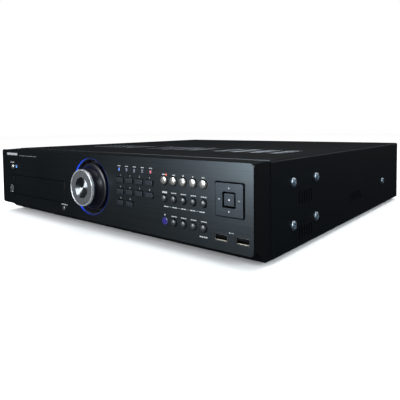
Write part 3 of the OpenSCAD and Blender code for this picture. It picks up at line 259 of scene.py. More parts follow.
def turned_metal(name, colour, rough, centre, dish_r):
    """Metal turned about an axis along y: a spun dish out to dish_r, and a matt ring around it."""
    f = Finish(name, rough, 1.0, Anisotropic_Rotation=0.25)
    length, fade = from_axis(f, centre), 0.1 * MM
    rings = f.node("ShaderNodeTexNoise", noise_dimensions="1D")
    f.set(rings, Scale=5200.0, Detail=2.0)
    f.link(length, rings.inputs["W"])
    dish = f.spread(length, 1.0, 0.0, dish_r - fade, dish_r + fade)
    spun = f.blend(f.spread(rings.outputs["Fac"], 0.0, 1.0), shade(colour, 0.8), shade(colour, 1.15))
    f.paint(f.blend(dish, shade(colour, 0.4), spun))
    f.roughen(f.spread(dish, 0.55, rough, 0.0, 1.0))
    f.link(f.spread(dish, 0.0, 1.0, 0.0, 1.0), f.shader.inputs["Anisotropic"])
    tangent = f.node("ShaderNodeTangent", direction_type="RADIAL", axis="Y")
    f.link(tangent.outputs["Tangent"], f.shader.inputs["Tangent"])
    return f.bump(rings.outputs["Fac"], 0.000004, 0.3)


def lit_with_painted_shade(name, colour, strength, centre):
    """A ring of light, bright on its left half: its glow fades out to the right as painted shade, where
    the shuttle ring hides the light.
    """
    f = lit(name, colour, strength, 0.3)
    bright_x, dark_x = centre.x - 24 * MM, centre.x - 2 * MM
    apart = f.node("ShaderNodeSeparateXYZ")
    f.link(f.place, apart.inputs[0])
    # Painted shade: the glow's strength falls from full at bright_x to nothing at dark_x, towards the
    # right.
    f.link(f.spread(apart.outputs["X"], strength, 0.0, bright_x, dark_x),
           f.shader.inputs["Emission Strength"])
    return f


# Radius of the dish in the dial's cap: the turned finish and the turned mesh share it
DISH_R = 12.0 * MM

# Noise scales of brushed metal in cycles per metre: along x, along y, and along x in short strokes
ALONG_X = (6.0, 900.0, 3800.0)
ALONG_Y = (1500.0, 12.0, 1500.0)
SHORT_ALONG_X = (40.0, 900.0, 3000.0)

FINISHES = {
    "cover_paint": powder_coat("cover_paint", (0.0012, 0.0026, 0.0038), 0.46),
    "pan_steel": brushed("pan_steel", (0.5, 0.51, 0.52), 0.36, ALONG_Y),
    "rear_paint": powder_coat("rear_paint", (0.009, 0.0098, 0.0108), 0.5),
    "bezel_plastic": moulded("bezel_plastic", (0.0018, 0.0026, 0.0032), 0.46, shine=0.22),
    "front_metal": brushed("front_metal", (0.08, 0.095, 0.105), 0.3, ALONG_X),
    "foot_rubber": moulded("foot_rubber", (0.02, 0.02, 0.02), 0.85, 900.0, 0.00006),
    "ear_screw_steel": plated("ear_screw_steel", (0.56, 0.66, 0.74), 0.38),
    "small_screw_steel": plated("small_screw_steel", (0.5, 0.5, 0.52), 0.25),
    "knob_gloss": glossy("knob_gloss", (0.003, 0.004, 0.008), 0.38, 0.06),
    "bright_rim": plated("bright_rim", (0.5, 0.52, 0.54), 0.3, 0.7),
    "spun_cap": turned_metal("spun_cap", (0.42, 0.44, 0.46), 0.48, middle("jog_cap"), DISH_R),
    "cup_gloss": glossy("cup_gloss", (0.01, 0.011, 0.014), 0.35, 0.1),
    "light_ring": lit_with_painted_shade("light_ring", (0.015, 0.08, 0.9), 1.3, middle("dial_light_ring")),
    "dark_moulding": moulded("dark_moulding", (0.02, 0.02, 0.022), 0.5),
    "key_plastic": brushed("key_plastic", (0.08, 0.095, 0.11), 0.32, SHORT_ALONG_X, metallic=0.93),
    "bright_button": glossy("bright_button", (0.53, 0.52, 0.49), 0.3, 0.1, 0.93),
    "dark_button": glossy("dark_button", (0.085, 0.092, 0.1), 0.34, 0.1, 0.85),
    "pad_plastic": brushed("pad_plastic", (0.075, 0.09, 0.105), 0.3, SHORT_ALONG_X, metallic=0.95),
    "clear_lens": clear_plastic("clear_lens"),
    "socket_steel": plated("socket_steel", (0.72, 0.72, 0.72), 0.22),
    "circuit_board": solder_mask("circuit_board"),
    "tray_plastic": moulded("tray_plastic", (0.03, 0.03, 0.033), 0.5),
    "drive_steel": brushed("drive_steel", (0.55, 0.55, 0.56), 0.32, ALONG_Y),
    "disk_aluminium": brushed("disk_aluminium", (0.5, 0.51, 0.53), 0.3, (300.0, 300.0, 900.0)),
    "ribbon_plastic": moulded("ribbon_plastic", (0.45, 0.46, 0.48), 0.5),
    "jack_nickel": plated("jack_nickel", (0.7, 0.68, 0.62), 0.2),
    "inlet_plastic": moulded("inlet_plastic", (0.012, 0.012, 0.012), 0.45),
}
INK = printed("legend_ink", (0.29, 0.31, 0.32))
DIM_INK = printed("dim_ink", (0.22, 0.23, 0.24))
FAINT_INK = printed("faint_ink", (0.09, 0.1, 0.105))
PAD_INK = printed("pad_ink", (0.62, 0.65, 0.67))
# Black: the real plastic of the data sockets' tongues, and painted shade as the rings round the pad and
# buttons and as the skins inside the data sockets.
BLACK_AND_PAINTED_SHADE = moulded("black_plastic_and_painted_shade", (0.001, 0.0012, 0.0014), 0.7, shine=0.1)
RED_INK = printed("red_ink", (0.75, 0.12, 0.08))
BARE_EDGE = plated("bare_edge", (0.5, 0.54, 0.58), 0.4)
# A lighter metal for the strip on the cover's front edge: a painted highlight of the light line that edge
# catches.
EDGE_HIGHLIGHT = plated("painted_edge_highlight", (0.1, 0.115, 0.125), 0.5)
GOLD = plated("contact_gold", (0.85, 0.62, 0.25), 0.22)
# Pale plating for the lips of the data sockets: a painted highlight.
LIP_HIGHLIGHT_GOLD = plated("painted_lip_highlight", (0.9, 0.82, 0.68), 0.35, 0.4)
WHITE_PLASTIC = moulded("white_plastic", (0.75, 0.75, 0.72), 0.4)
RED_PLASTIC = moulded("red_plastic", (0.55, 0.03, 0.02), 0.35)
GREEN_PLASTIC = moulded("green_plastic", (0.03, 0.28, 0.08), 0.4)

for name, node in NODES.items():
    for holder in node.material_slots:
        holder.material = FINISHES[SLOT_OF[name]].material


# ---------------------------------------------------------------- mesh helpers

WELD = 1e-6
FINE_WELD = 1e-7


def add_piece(name, mesh, finish, body):
    piece = bpy.data.objects.new(name, mesh)
    bpy.context.collection.objects.link(piece)
    mesh.materials.clear()
    mesh.materials.append(finish.material)
    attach(piece, body)
    return piece


def smooth_by_angle(mesh, degrees=35.0):
    mesh.shade_smooth()
    mesh.set_sharp_from_angle(angle=math.radians(degrees))


def keep_flats_flat(piece):
    """Weights the normals by face area, so a flat side stays flat up to its rounded edge."""
    weigh = piece.modifiers.new("weighted_normals", "WEIGHTED_NORMAL")
    weigh.keep_sharp = True
    weigh.weight = 100


def stand_in(node, mesh):
    """Puts a new mesh in the place of a CAD node, on the same body and with the same finish."""
    piece = add_piece(mesh.name, mesh, FINISHES[SLOT_OF[node]], BODY_OF[node])
    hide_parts(node)
    keep_flats_flat(piece)


def rounded_node(node, width):
    """Stands for a CAD node: the same mesh with its sharp edges rounded."""
    bm = bmesh.new()
    bm.from_mesh(NODES[node].data)
    bmesh.ops.remove_doubles(bm, verts=bm.verts, dist=WELD)
    bmesh.ops.dissolve_limit(bm, angle_limit=math.radians(0.5), verts=bm.verts, edges=bm.edges)
    bmesh.ops.recalc_face_normals(bm, faces=bm.faces)
    sharp = [e for e in bm.edges if len(e.link_faces) == 2 and e.calc_face_angle() > math.radians(40)]
    bmesh.ops.bevel(bm, geom=sharp, offset=width, segments=2, profile=0.5, affect="EDGES",
                    clamp_overlap=True)
    mesh = bpy.data.meshes.new(node + "_rounded")
    bm.to_mesh(mesh)
    bm.free()
    smooth_by_angle(mesh, 50.0)
    stand_in(node, mesh)


def prism(bm, outline, front, back):
    """A flat shape of the front: its outline [(x, z)] between two values of y."""
    near = [bm.verts.new((x, front, z)) for x, z in outline]
    far = [bm.verts.new((x, back, z)) for x, z in outline]
    bm.faces.new(near)
    bm.faces.new(far[::-1])
    for i in range(len(outline)):
        j = (i + 1) % len(outline)
        bm.faces.new((near[j], near[i], far[i], far[j]))


def close_band(bm, near_out, near_in, far_out, far_in):
    """Joins four loops of points into a closed ring."""
    for i in range(len(near_out)):
        j = (i + 1) % len(near_out)
        bm.faces.new((near_out[i], near_out[j], near_in[j], near_in[i]))
        bm.faces.new((far_in[i], far_in[j], far_out[j], far_out[i]))
        bm.faces.new((near_out[j], near_out[i], far_out[i], far_out[j]))
        bm.faces.new((near_in[i], near_in[j], far_in[j], far_in[i]))


def band(bm, outer, inner, front, back):
    """A flat ring of the front, between two outlines with the same number of points."""
    close_band(bm, *[[bm.verts.new((x, y, z)) for x, z in line] for y in (front, back)
                     for line in (outer, inner)])


def circle(x, z, radius, count=32):
    return [(x + radius * math.cos(a), z + radius * math.sin(a))
            for a in (2 * math.pi * i / count for i in range(count))]


def rounded_square(x, z, half, r, steps=5):
    """A square of two half-widths, with corners of radius r."""
    return [(x + sx * (half - r) + r * math.cos(a), z + sz * (half - r) + r * math.sin(a))
            for turn, (sx, sz) in enumerate(((1, 1), (-1, 1), (-1, -1), (1, -1)))
            for a in (math.pi / 2 * (turn + i / steps) for i in range(steps + 1))]


def box_outline(x, z, w, h):
    return [(x - w / 2, z - h / 2), (x + w / 2, z - h / 2), (x + w / 2, z + h / 2), (x - w / 2, z + h / 2)]


def stadium(length, width, count=6):
    """A slot with round ends, centred on nothing and long along its first axis."""
    r, reach = width / 2, (length - width) / 2
    arc = [math.pi * (i / count - 0.5) for i in range(count + 1)]
    return ([(reach + r * math.cos(a), r * math.sin(a)) for a in arc]
            + [(-reach - r * math.cos(a), -r * math.sin(a)) for a in arc])


def turned(bm, centre, profile, count=64):
    """A shape turned about a line along y through centre: profile is [(radius, y)]."""
    rings = []
    for i in range(count):
        a = 2 * math.pi * i / count
        rings.append([bm.verts.new((centre[0] + r * math.cos(a), y, centre[1] + r * math.sin(a)))
                      for r, y in profile])
    for i in range(count):
        j = (i + 1) % count
        for k in range(len(profile) - 1):
            bm.faces.new((rings[i][k], rings[j][k], rings[j][k + 1], rings[i][k + 1]))


def slab(bm, x, y, z):
    """A box given by its two ends on each axis."""
    made = bmesh.ops.create_cube(bm, size=1.0)["verts"]
    for v in made:
        v.co = Vector((x[v.co.x > 0], y[v.co.y > 0], z[v.co.z > 0]))


def finish_mesh(bm, name, smooth=True):
    bmesh.ops.remove_doubles(bm, verts=bm.verts, dist=FINE_WELD)
    bmesh.ops.recalc_face_normals(bm, faces=bm.faces)
    mesh = bpy.data.meshes.new(name)
    bm.to_mesh(mesh)
    bm.free()
    if smooth:
        smooth_by_angle(mesh)
    return mesh


# ---------------------------------------------------------------- rounded edges on CAD pieces

KEYS = [f"number_key_{digit}" for digit in "1234567890"]
for node, width in [("front_plate", 0.35), ("disc_door", 0.3), ("front_bezel", 0.3), ("top_cover", 0.25),
                    ("nav_pad", 0.4), ("enter_button", 0.35), ("feet", 0.8), ("ear_screws", 0.15),
                    ("ac_inlet", 0.3)] + [(key, 0.3) for key in KEYS]:
    rounded_node(node, width * MM)


# ---------------------------------------------------------------- the dial

DISH_DEPTH = 2.4 * MM
RIM_W = 1.6 * MM
CORNER = 0.2 * MM
CAP_GAP = 0.4 * MM
DIAL_GAP = 0.4 * MM
SPINDLE_R = 3.0 * MM
TURN_FIT = 0.05 * MM
KNOB_BACK = FACE_Y + 2.0 * MM


def radius_of(node):
    low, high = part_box(node)
    return (high.x - low.x) / 2


def turned_node(node, profile, angle=30.0, count=160):
    """Stands for a turned CAD node, with enough steps around it to reflect evenly."""
    centre = middle(node)
    bm = bmesh.new()
    turned(bm, (centre.x, centre.z), profile, count)
    mesh = finish_mesh(bm, node + "_turned", False)
    smooth_by_angle(mesh, angle)
    stand_in(node, mesh)


def jog_cap():
    """A shallow spherical dish in a flat face with a rounded edge."""
    low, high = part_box("jog_cap")
    radius, steps = radius_of("jog_cap"), 16
    ball = (DISH_R ** 2 + DISH_DEPTH ** 2) / (2 * DISH_DEPTH)
    reach = math.asin(DISH_R / ball)
    dish = [(ball * math.sin(a), low.y + DISH_DEPTH - ball + ball * math.cos(a))
            for a in (reach * i / steps for i in range(steps + 1))]
    turned_node("jog_cap", dish + [
        (radius - CORNER, low.y), (radius - CORNER * 0.3, low.y + CORNER * 0.3), (radius, low.y + CORNER),
        (radius, high.y), (0.0, high.y)], 20.0)


def jog_rim():
    """A ring with a half-round front."""
    low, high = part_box("jog_rim")
    radius, half, steps = radius_of("jog_rim"), RIM_W / 2, 24
    bead = [(radius - half + half * math.cos(a), low.y + half - half * math.sin(a))
            for a in (math.pi * i / steps for i in range(steps + 1))]
    turned_node("jog_rim", bead + [(radius - RIM_W, high.y), (radius, high.y), bead[0]], 40.0)


def jog_knob():
    """A drum under the cap and the rim, with its spindle."""
    cap_back, rim_back, back = [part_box(node)[1].y for node in ("jog_cap", "jog_rim", "jog_knob")]
    cap_r, radius = radius_of("jog_rim") - RIM_W - CAP_GAP, radius_of("jog_knob")
    turned_node("jog_knob", [
        (0.0, cap_back), (cap_r, cap_back), (cap_r, rim_back), (radius - CORNER, rim_back),
        (radius, rim_back + CORNER), (radius, KNOB_BACK), (SPINDLE_R, KNOB_BACK),
        (SPINDLE_R, back), (0.0, back)])


def shuttle_ring():
    """A flared ring round the knob, with a web behind it and a hub on the encoder's neck."""
    low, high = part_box("shuttle_ring")
    inner, outer, edge = radius_of("jog_knob") + DIAL_GAP, radius_of("shuttle_ring"), 0.15 * MM
    lip, web = FACE_Y + 1.4 * MM, FACE_Y + 3.2 * MM
    web_back, hub_r, bore = web + 1.6 * MM, 11.5 * MM, 9.0 * MM + TURN_FIT
    start, steps = inner + 0.8 * MM, 24
    flare = [(outer + (start - outer) * math.cos(a), low.y + (lip - low.y) * math.sin(a))
             for a in (math.pi / 2 * i / steps for i in range(steps + 1))]
    turned_node("shuttle_ring", [(inner, low.y + edge), (inner + edge, low.y)] + flare + [
        (outer, web_back), (hub_r, web_back), (hub_r, high.y), (bore, high.y),
        (bore, web), (inner, web), (inner, low.y + edge)], 35.0)


jog_cap()
jog_rim()
jog_knob()
shuttle_ring()


# ---------------------------------------------------------------- round buttons

TRANSPORT = ["record_button", "rewind_button", "stop_button", "play_button", "forward_button"]
FUNCTION = [f"function_button_{i}" for i in range(1, 6)]
MENU_ROW = ["mode_button", "audio_button", "alarm_button", "menu_button"]


def round_button(node):
    """A smooth dome on the button's straight wall, with its flange and stem behind the plate."""
    centre, (low, high) = middle(node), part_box(node)
    spots = [(math.hypot(v.co.x - centre.x, v.co.z - centre.z), v.co.y) for v in NODES[node].data.vertices]
    rim, near = max(r for r, y in spots), 0.05 * MM
    flange = [y for r, y in spots if r > rim - near]
    radius = max(r for r, y in spots if y < FACE_Y)
    stem = max(r for r, y in spots if y > high.y - near)
    rise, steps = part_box("number_key_1")[0].y - low.y, 12
    dome = [(radius * math.sin(a), low.y + rise * (1 - math.cos(a)))
            for a in (math.pi / 2 * i / steps for i in range(steps + 1))]
    turned_node(node, dome + [
        (radius, min(flange)), (rim, min(flange)), (rim, max(flange)), (stem, max(flange)),
        (stem, high.y), (0.0, high.y)], 35.0, 48)


for node in TRANSPORT + FUNCTION + MENU_ROW + ["power_button", "eject_button"]:
    round_button(node)


# ---------------------------------------------------------------- bare cut edges of the cover's slots, and a painted highlight on its front edge

def top_slots():
    """Boxes of the slots through the cover's top, found as groups of upright wall faces."""
    bm = bmesh.new()
    bm.from_mesh(NODES["top_cover"].data)
    bmesh.ops.remove_doubles(bm, verts=bm.verts, dist=WELD)
    walls = {f for f in bm.faces if abs(f.normal.z) < 0.02}
    found = []
    while walls:
        group, edge = set(), [walls.pop()]
        while edge:
            face = edge.pop()
            group.add(face)
            for e in face.edges:
                for other in e.link_faces:
                    if other in walls:
                        walls.discard(other)
                        edge.append(other)
        corners = [v.co.copy() for f in group for v in f.verts]
        low = Vector([min(c[i] for c in corners) for i in range(3)])
        high = Vector([max(c[i] for c in corners) for i in range(3)])
        size = high - low
        if size.z < 2 * MM and 10 * MM < max(size) < 20 * MM and sorted(size)[1] < 3 * MM:
            found.append((low, high))
    bm.free()
    return sorted(found, key=lambda pair: tuple(round(c, 6) for c in pair[0]))


def vent_edges():
    """A thin closed band on the wall of each slot, where the paint ends."""
    skin, inset, sink = 0.08 * MM, 0.005 * MM, 0.04 * MM
    bm = bmesh.new()
    for low, high in top_slots():
        mid, size = (low + high) / 2, high - low
        lines = [stadium(size.x - 2 * depth, size.y - 2 * depth) for depth in (inset, skin)]
        close_band(bm, *[[bm.verts.new((mid.x + u, mid.y + v, level)) for u, v in line]
                         for level in (high.z - sink, low.z) for line in lines])
    add_piece("vent_edges", finish_mesh(bm, "vent_edges"), BARE_EDGE, "root")


def arch(low, high, bend, inset):
    """The cover's outline seen from the front, open below, set in by a little."""
    arc = [math.pi / 2 * i / 8 for i in range(9)]
    r = bend - inset
    right = [(high.x - bend + r * math.cos(a), high.z - bend + r * math.sin(a)) for a in arc]
    left = [(low.x + bend - r * math.sin(a), high.z - bend + r * math.cos(a)) for a in arc]
    return [(high.x - inset, low.z)] + right + left + [(low.x + inset, low.z)]


def cover_front_edge():
    """A strip on the front edge of the cover, from one side over the top to the other: its lighter metal
    colour is a painted highlight along the edge.
    """
    low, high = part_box("top_cover")
    bend, outer_inset, inner_inset = 2.5 * MM, 0.02 * MM, 0.5 * MM
    near, far = low.y - 0.05 * MM, low.y + 0.01 * MM
    line = arch(low, high, bend, outer_inset)
    outline = line + arch(low, high, bend, inner_inset)[::-1]
    bm = bmesh.new()
    front, back = [[bm.verts.new((x, y, z)) for x, z in outline] for y in (near, far)]
    for i in range(len(line) - 1):
        j = len(outline) - 1 - i
        bm.faces.new((front[i], front[i + 1], front[j - 1], front[j]))
        bm.faces.new((back[j], back[j - 1], back[i + 1], back[i]))
    for i in range(len(outline)):
        j = (i + 1) % len(outline)
        bm.faces.new((front[j], front[i], back[i], back[j]))
    add_piece("cover_front_edge", finish_mesh(bm, "cover_front_edge"), EDGE_HIGHLIGHT, "root")


vent_edges()
cover_front_edge()


# ---------------------------------------------------------------- printed legends, and rings of painted shadow

INK_T = 0.03 * MM


class Legend:
    """Flat ink shapes on a face that looks towards the front."""

    def __init__(self, face_y):
        self.bm = bmesh.new()
        self.y = face_y

    def flat(self, outline):
        prism(self.bm, outline, self.y - INK_T, self.y)

    def bar(self, x, z, w, h):
        self.flat(box_outline(x, z, w, h))

    def disc(self, x, z, r):
        self.flat(circle(x, z, r, 20))

    def ring(self, x, z, r, w):
        band(self.bm, circle(x, z, r), circle(x, z, r - w), self.y - INK_T, self.y)

    def wedge(self, x, z, size, turn=0.0):
        """A triangle that points right, turned by an angle in degrees."""
        points = [(size / 2, 0.0), (-size / 2, size / 2), (-size / 2, -size / 2)]
        c, s = math.cos(math.radians(turn)), math.sin(math.radians(turn))
        self.flat([(x + c * u - s * v, z + s * u + c * v) for u, v in points])

    def words(self, x, z, width, height=1.0):
        """Stands for a printed word: a generic run of short bars, sizes in millimetres."""
        pitch, gap = 2.4, 0.5
        count = max(1, round(width / pitch))
        length = (width - gap * (count - 1)) / count
        for i in range(count):
            self.bar(x + (i - (count - 1) / 2) * (length + gap) * MM, z, length * MM, height * MM)

    def done(self, name, finish, body):
        add_piece(name, finish_mesh(self.bm, name, False), finish, body)


def digit_mesh(digit, x, z, height):
    """A printed digit on the plate, centred on x and z."""
    font_scale = 1.42
    text = bpy.data.curves.new("digit", "FONT")
    text.body = digit
    text.size = height * font_scale
    text.align_x = "CENTER"
    text.align_y = "CENTER"
    text.extrude = INK_T / 2
    holder = bpy.data.objects.new("digit", text)
    bpy.context.collection.objects.link(holder)
    bpy.context.view_layer.update()
    mesh = bpy.data.meshes.new_from_object(holder.evaluated_get(bpy.context.evaluated_depsgraph_get()))
    bpy.data.objects.remove(holder)
    bpy.data.curves.remove(text)
    upright = Matrix.Rotation(math.radians(90), 4, "X")
    mesh.transform(Matrix.Translation((x, FACE_Y - INK_T / 2, z)) @ upright)
    return mesh


def front_z(height):
    """Level of a row given in millimetres above the case's underside."""
    return UNDER_Z + height * MM


# Levels of the printed rows and of the lamps
ABOVE_TRANSPORT = front_z(71.7)
ABOVE_FUNCTION = front_z(54.3)
BELOW_FUNCTION = front_z(40.5)
ABOVE_MENU = front_z(31.8)
BELOW_MENU = front_z(18.0)
ABOVE_LAMPS = front_z(76.6)
LAMP_Z = front_z(72.9)
ABOVE_POWER = front_z(69.3)
ABOVE_EJECT = front_z(22.3)
ABOVE_USB = front_z(26.3)

FIRST_COLUMN, LAST_COLUMN = middle(FUNCTION[0]).x, middle(FUNCTION[-1]).x
POWER, EJECT, USB = middle("power_button"), middle("eject_button"), middle("usb_ports")
PAD = middle("nav_pad")
LAMP_FIRST = middle("number_key_1").x - 2.1 * MM
LAMP_PITCH = 12.2 * MM


def transport_marks(legend):
    """Signs over the bright buttons: stop, play, and double wedges for rewind and forward."""
    for node in TRANSPORT[1:]:
        x = middle(node).x
        if node == "stop_button":
            legend.bar(x, ABOVE_TRANSPORT, 1.7 * MM, 1.7 * MM)
        elif node == "play_button":
            legend.wedge(x, ABOVE_TRANSPORT, 2.0 * MM)
        else:
            turn = 180.0 if node == "rewind_button" else 0.0
            for side in (-1, 1):
                legend.wedge(x + side * 0.9 * MM, ABOVE_TRANSPORT, 1.7 * MM, turn)
    legend.words(middle(TRANSPORT[0]).x - 1.2 * MM, ABOVE_TRANSPORT, 3.4, 1.1)


def button_words(legend):
    """The rows over and under the dark buttons, where the lower row is joined by thin lines."""
    legend.bar(FIRST_COLUMN, ABOVE_FUNCTION, 6.4 * MM, 1.7 * MM)
    for node in FUNCTION[1:]:
        legend.words(middle(node).x, ABOVE_FUNCTION, 6.5, 0.9)
    span = LAST_COLUMN - FIRST_COLUMN
    first_word, first_line, pitch = FIRST_COLUMN + 0.04 * span, FIRST_COLUMN + 0.155 * span, 0.23 * span
    for i in range(5):
        legend.words(first_word + pitch * i, BELOW_FUNCTION, 6.0, 0.9)
    for i in range(4):
        legend.bar(first_line + pitch * i, BELOW_FUNCTION, 2.6 * MM, 0.25 * MM)
    for node in MENU_ROW:
        legend.words(middle(node).x, ABOVE_MENU, 6.6, 0.9)
    legend.wedge(FIRST_COLUMN, ABOVE_MENU + 0.1 * MM, 1.9 * MM, -90.0)
    legend.words(LAST_COLUMN - 0.6 * MM, BELOW_MENU, 9.0, 1.1)


def power_sign(legend):
    """A ring with a stroke through its top, and a word beside it."""
    x = POWER.x - 7.5 * MM
    legend.ring(x, ABOVE_POWER, 1.3 * MM, 0.35 * MM)
    legend.bar(x, ABOVE_POWER + 1.1 * MM, 0.4 * MM, 1.5 * MM)
    legend.words(POWER.x - 1.5 * MM, ABOVE_POWER, 6.0, 1.0)


def data_sign(legend):
    """A line with a point at one end and a dot at the other, over the two data sockets."""
    legend.bar(USB.x, ABOVE_USB, 3.4 * MM, 0.3 * MM)
    legend.wedge(USB.x + 2.2 * MM, ABOVE_USB, 1.1 * MM)
    legend.disc(USB.x - 1.9 * MM, ABOVE_USB, 0.6 * MM)


def maker_bar(legend):
    legend.bar(POWER.x - 4.0 * MM, front_z(81.2), 30.0 * MM, 3.2 * MM)


def disc_sign(legend):
    """Two rings over a bar, beside the disc drive's door."""
    x, z = POWER.x - 7.2 * MM, front_z(32.0)
    legend.ring(x, z, 4.2 * MM, 0.45 * MM)
    legend.ring(x, z, 1.5 * MM, 0.35 * MM)
    legend.bar(x, z - 5.6 * MM, 9.0 * MM, 0.6 * MM)


def plate_legends():
    for digit, key in zip("1234567890", KEYS):
        at = middle(key)
        add_piece("digit_" + digit, digit_mesh(digit, at.x, at.z + 4.8 * MM, 2.0 * MM), DIM_INK, "root")

    bright, dim, faint, red = [Legend(FACE_Y) for _ in range(4)]
    transport_marks(bright)
    button_words(bright)
    for i in range(5):
        bright.words(LAMP_FIRST + LAMP_PITCH * i, ABOVE_LAMPS, 4.4, 0.8)
    power_sign(bright)
    data_sign(bright)
    maker_bar(dim)
    dim.words(EJECT.x - 0.7 * MM, ABOVE_EJECT, 13.0, 1.2)
    disc_sign(dim)
    faint.words(POWER.x + 40.0 * MM, front_z(79.4), 46.0, 0.9)
    red.disc(middle(TRANSPORT[0]).x + 2.4 * MM, ABOVE_TRANSPORT, 1.0 * MM)
    dim.done("dim_marks", DIM_INK, "root")
    faint.done("faint_line", FAINT_INK, "root")
    bright.done("front_legends", INK, "root")
    red.done("record_dot", RED_INK, "root")


def pad_arrows():
    """An arrow at each side of the direction pad."""
    arrows = Legend(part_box("nav_pad")[0].y)
    for turn in (0.0, 90.0, 180.0, 270.0):
        a = math.radians(turn)
        arrows.wedge(PAD.x + 10.7 * MM * math.cos(a), PAD.z + 10.4 * MM * math.sin(a), 1.3 * MM, turn)
    arrows.done("pad_arrows", PAD_INK, "nav_pad")


def painted_shadow_rings():
    """Thin black rings lying on the plate around the openings of the pad and the round buttons: painted
    shadow of the gaps round them.
    """
    bm = bmesh.new()
    low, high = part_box("nav_pad")
    hole, wide, corner = (high.z - low.z) / 2 + 0.85 * MM, 0.5 * MM, 1.6 * MM
    band(bm, rounded_square(PAD.x, PAD.z, hole + wide, corner + wide),
         rounded_square(PAD.x, PAD.z, hole, corner), FACE_Y - INK_T, FACE_Y)
    for button in TRANSPORT + FUNCTION + MENU_ROW:
        at, (low, high) = middle(button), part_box(button)
        outer = (high.z - low.z) / 2 + 0.1 * MM
        band(bm, circle(at.x, at.z, outer, 40), circle(at.x, at.z, outer - 0.4 * MM, 40),
             FACE_Y - INK_T, FACE_Y)
    add_piece("painted_shadow_rings", finish_mesh(bm, "painted_shadow_rings", False), BLACK_AND_PAINTED_SHADE, "root")


def enter_mark():
    dot = Legend(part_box("enter_button")[0].y)
    dot.disc(PAD.x, PAD.z, 0.65 * MM)
    dot.done("enter_mark", PAD_INK, "enter_button")


plate_legends()
pad_arrows()
painted_shadow_rings()
enter_mark()


# ---------------------------------------------------------------- lamps

def lens(name, outline, finish, bulge=0.25 * MM):
    """A shallow lens over a lamp's light guide: its outline, then steps in towards the front."""
    bm = bmesh.new()
    cx = sum(p[0] for p in outline) / len(outline)
    cz = sum(p[1] for p in outline) / len(outline)
    base, count = FACE_Y - 0.2 * MM, len(outline)
    rings = []
    for share, rise in [(1.0, 0.0), (0.97, 0.5), (0.86, 0.85), (0.6, 0.98)]:
        rings.append([bm.verts.new((cx + (x - cx) * share, base - bulge * rise, cz + (z - cz) * share))
                      for x, z in outline])
    tip = bm.verts.new((cx, base - bulge, cz))
    for i in range(count):
        j = (i + 1) % count
        for ring, inner in zip(rings, rings[1:]):
            bm.faces.new((ring[i], ring[j], inner[j], inner[i]))
        bm.faces.new((rings[-1][i], rings[-1][j], tip))
    bm.faces.new(rings[0][::-1])
    add_piece(name, finish_mesh(bm, name), finish, "root")


def drop_outline(x, z, w, h):
    """A lamp window with round ends."""
    r, steps = w / 2, 12
    arc = [math.pi * i / steps for i in range(steps + 1)]
    return ([(x + r * math.cos(a), z + h / 2 - r + r * math.sin(a)) for a in arc]
            + [(x - r * math.cos(a), z - h / 2 + r - r * math.sin(a)) for a in arc])


def lamps():
    blue, pale, red = (0.04, 0.2, 1.0), (0.3, 0.36, 0.5), (1.0, 0.16, 0.22)
    row = [(blue, 1.1), (pale, 0.12), (pale, 0.1), (pale, 0.16), (red, 0.8)]
    for i, (colour, strength) in enumerate(row):
        lens(f"lamp_lens_{i + 1}", drop_outline(LAMP_FIRST + LAMP_PITCH * i, LAMP_Z, 2.0 * MM, 2.8 * MM),
             lit(f"lamp_{i + 1}", colour, strength, 0.4))
    lens("power_lens", circle(POWER.x + 8.3 * MM, POWER.z, 1.6 * MM),
         lit("power_lamp", (0.08, 0.3, 1.0), 1.6, 0.4))
    lens("receiver_lens", circle(middle("record_button").x, middle("mode_button").z, 3.75 * MM),
         glossy("receiver_tint", (0.016, 0.013, 0.1), 0.2, 0.3), 0.35 * MM)


lamps()


# ---------------------------------------------------------------- data sockets of the front

def usb_details():
    """In each socket: black skins over the walls that are painted shade, a tongue with four gold contacts,
    and a pale lip below whose brightness is a painted highlight.
    """
    low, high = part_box("usb_ports")
    port_x, half_w, half_h = 11.45 * MM, 6.6 * MM, 2.9 * MM
    wall, skin = 0.35 * MM, 0.06 * MM
    front, back = low.y + 0.35 * MM, high.y - 0.6 * MM
    roof, bed = USB.z + half_h - wall, USB.z - half_h + wall
    tongue_z, tongue_half_w, tongue_half_h = USB.z + 0.9 * MM, 5.65 * MM, 1.0 * MM
    contact_half, contact_pitch = 0.6 * MM, 2.3 * MM
    contact_z = tongue_z - tongue_half_h
    shade_sheets, tongues, contacts, lip_highlights = [bmesh.new() for _ in range(4)]
    for side in (-1, 1):
        x = USB.x + side * port_x
        left, right = x - half_w + wall, x + half_w - wall
        # Black skins over the socket's roof, sides and back: painted shade inside the opening.
        slab(shade_sheets, (left, right), (front, back), (roof - skin, roof))
        slab(shade_sheets, (left, left + skin), (front, back), (bed, roof - skin))
        slab(shade_sheets, (right - skin, right), (front, back), (bed, roof - skin))
        slab(shade_sheets, (left + skin, right - skin), (back - skin, back), (bed, roof - skin))
        slab(tongues, (x - tongue_half_w, x + tongue_half_w), (low.y + 0.95 * MM, back - 2 * skin),
             (tongue_z - tongue_half_h, tongue_z + tongue_half_h))
        for i in (-1.5, -0.5, 0.5, 1.5):
            at = x + contact_pitch * i
            slab(contacts, (at - contact_half, at + contact_half), (low.y + 1.8 * MM, low.y + 9.0 * MM),
                 (contact_z - skin, contact_z))
        # A pale lip on the shell's lower edge: its bright colour is a painted highlight.
        slab(lip_highlights, (x - 5.6 * MM, x + 5.6 * MM), (low.y + 0.05 * MM, low.y + 1.9 * MM),
             (bed, bed + 0.08 * MM))
    for name, bm, finish in [("usb_lip_highlights", lip_highlights, LIP_HIGHLIGHT_GOLD), ("usb_painted_shade", shade_sheets, BLACK_AND_PAINTED_SHADE),
                             ("usb_tongues", tongues, BLACK_AND_PAINTED_SHADE), ("usb_contacts", contacts, GOLD)]:
        add_piece(name, finish_mesh(bm, name, False), finish, "root")


usb_details()


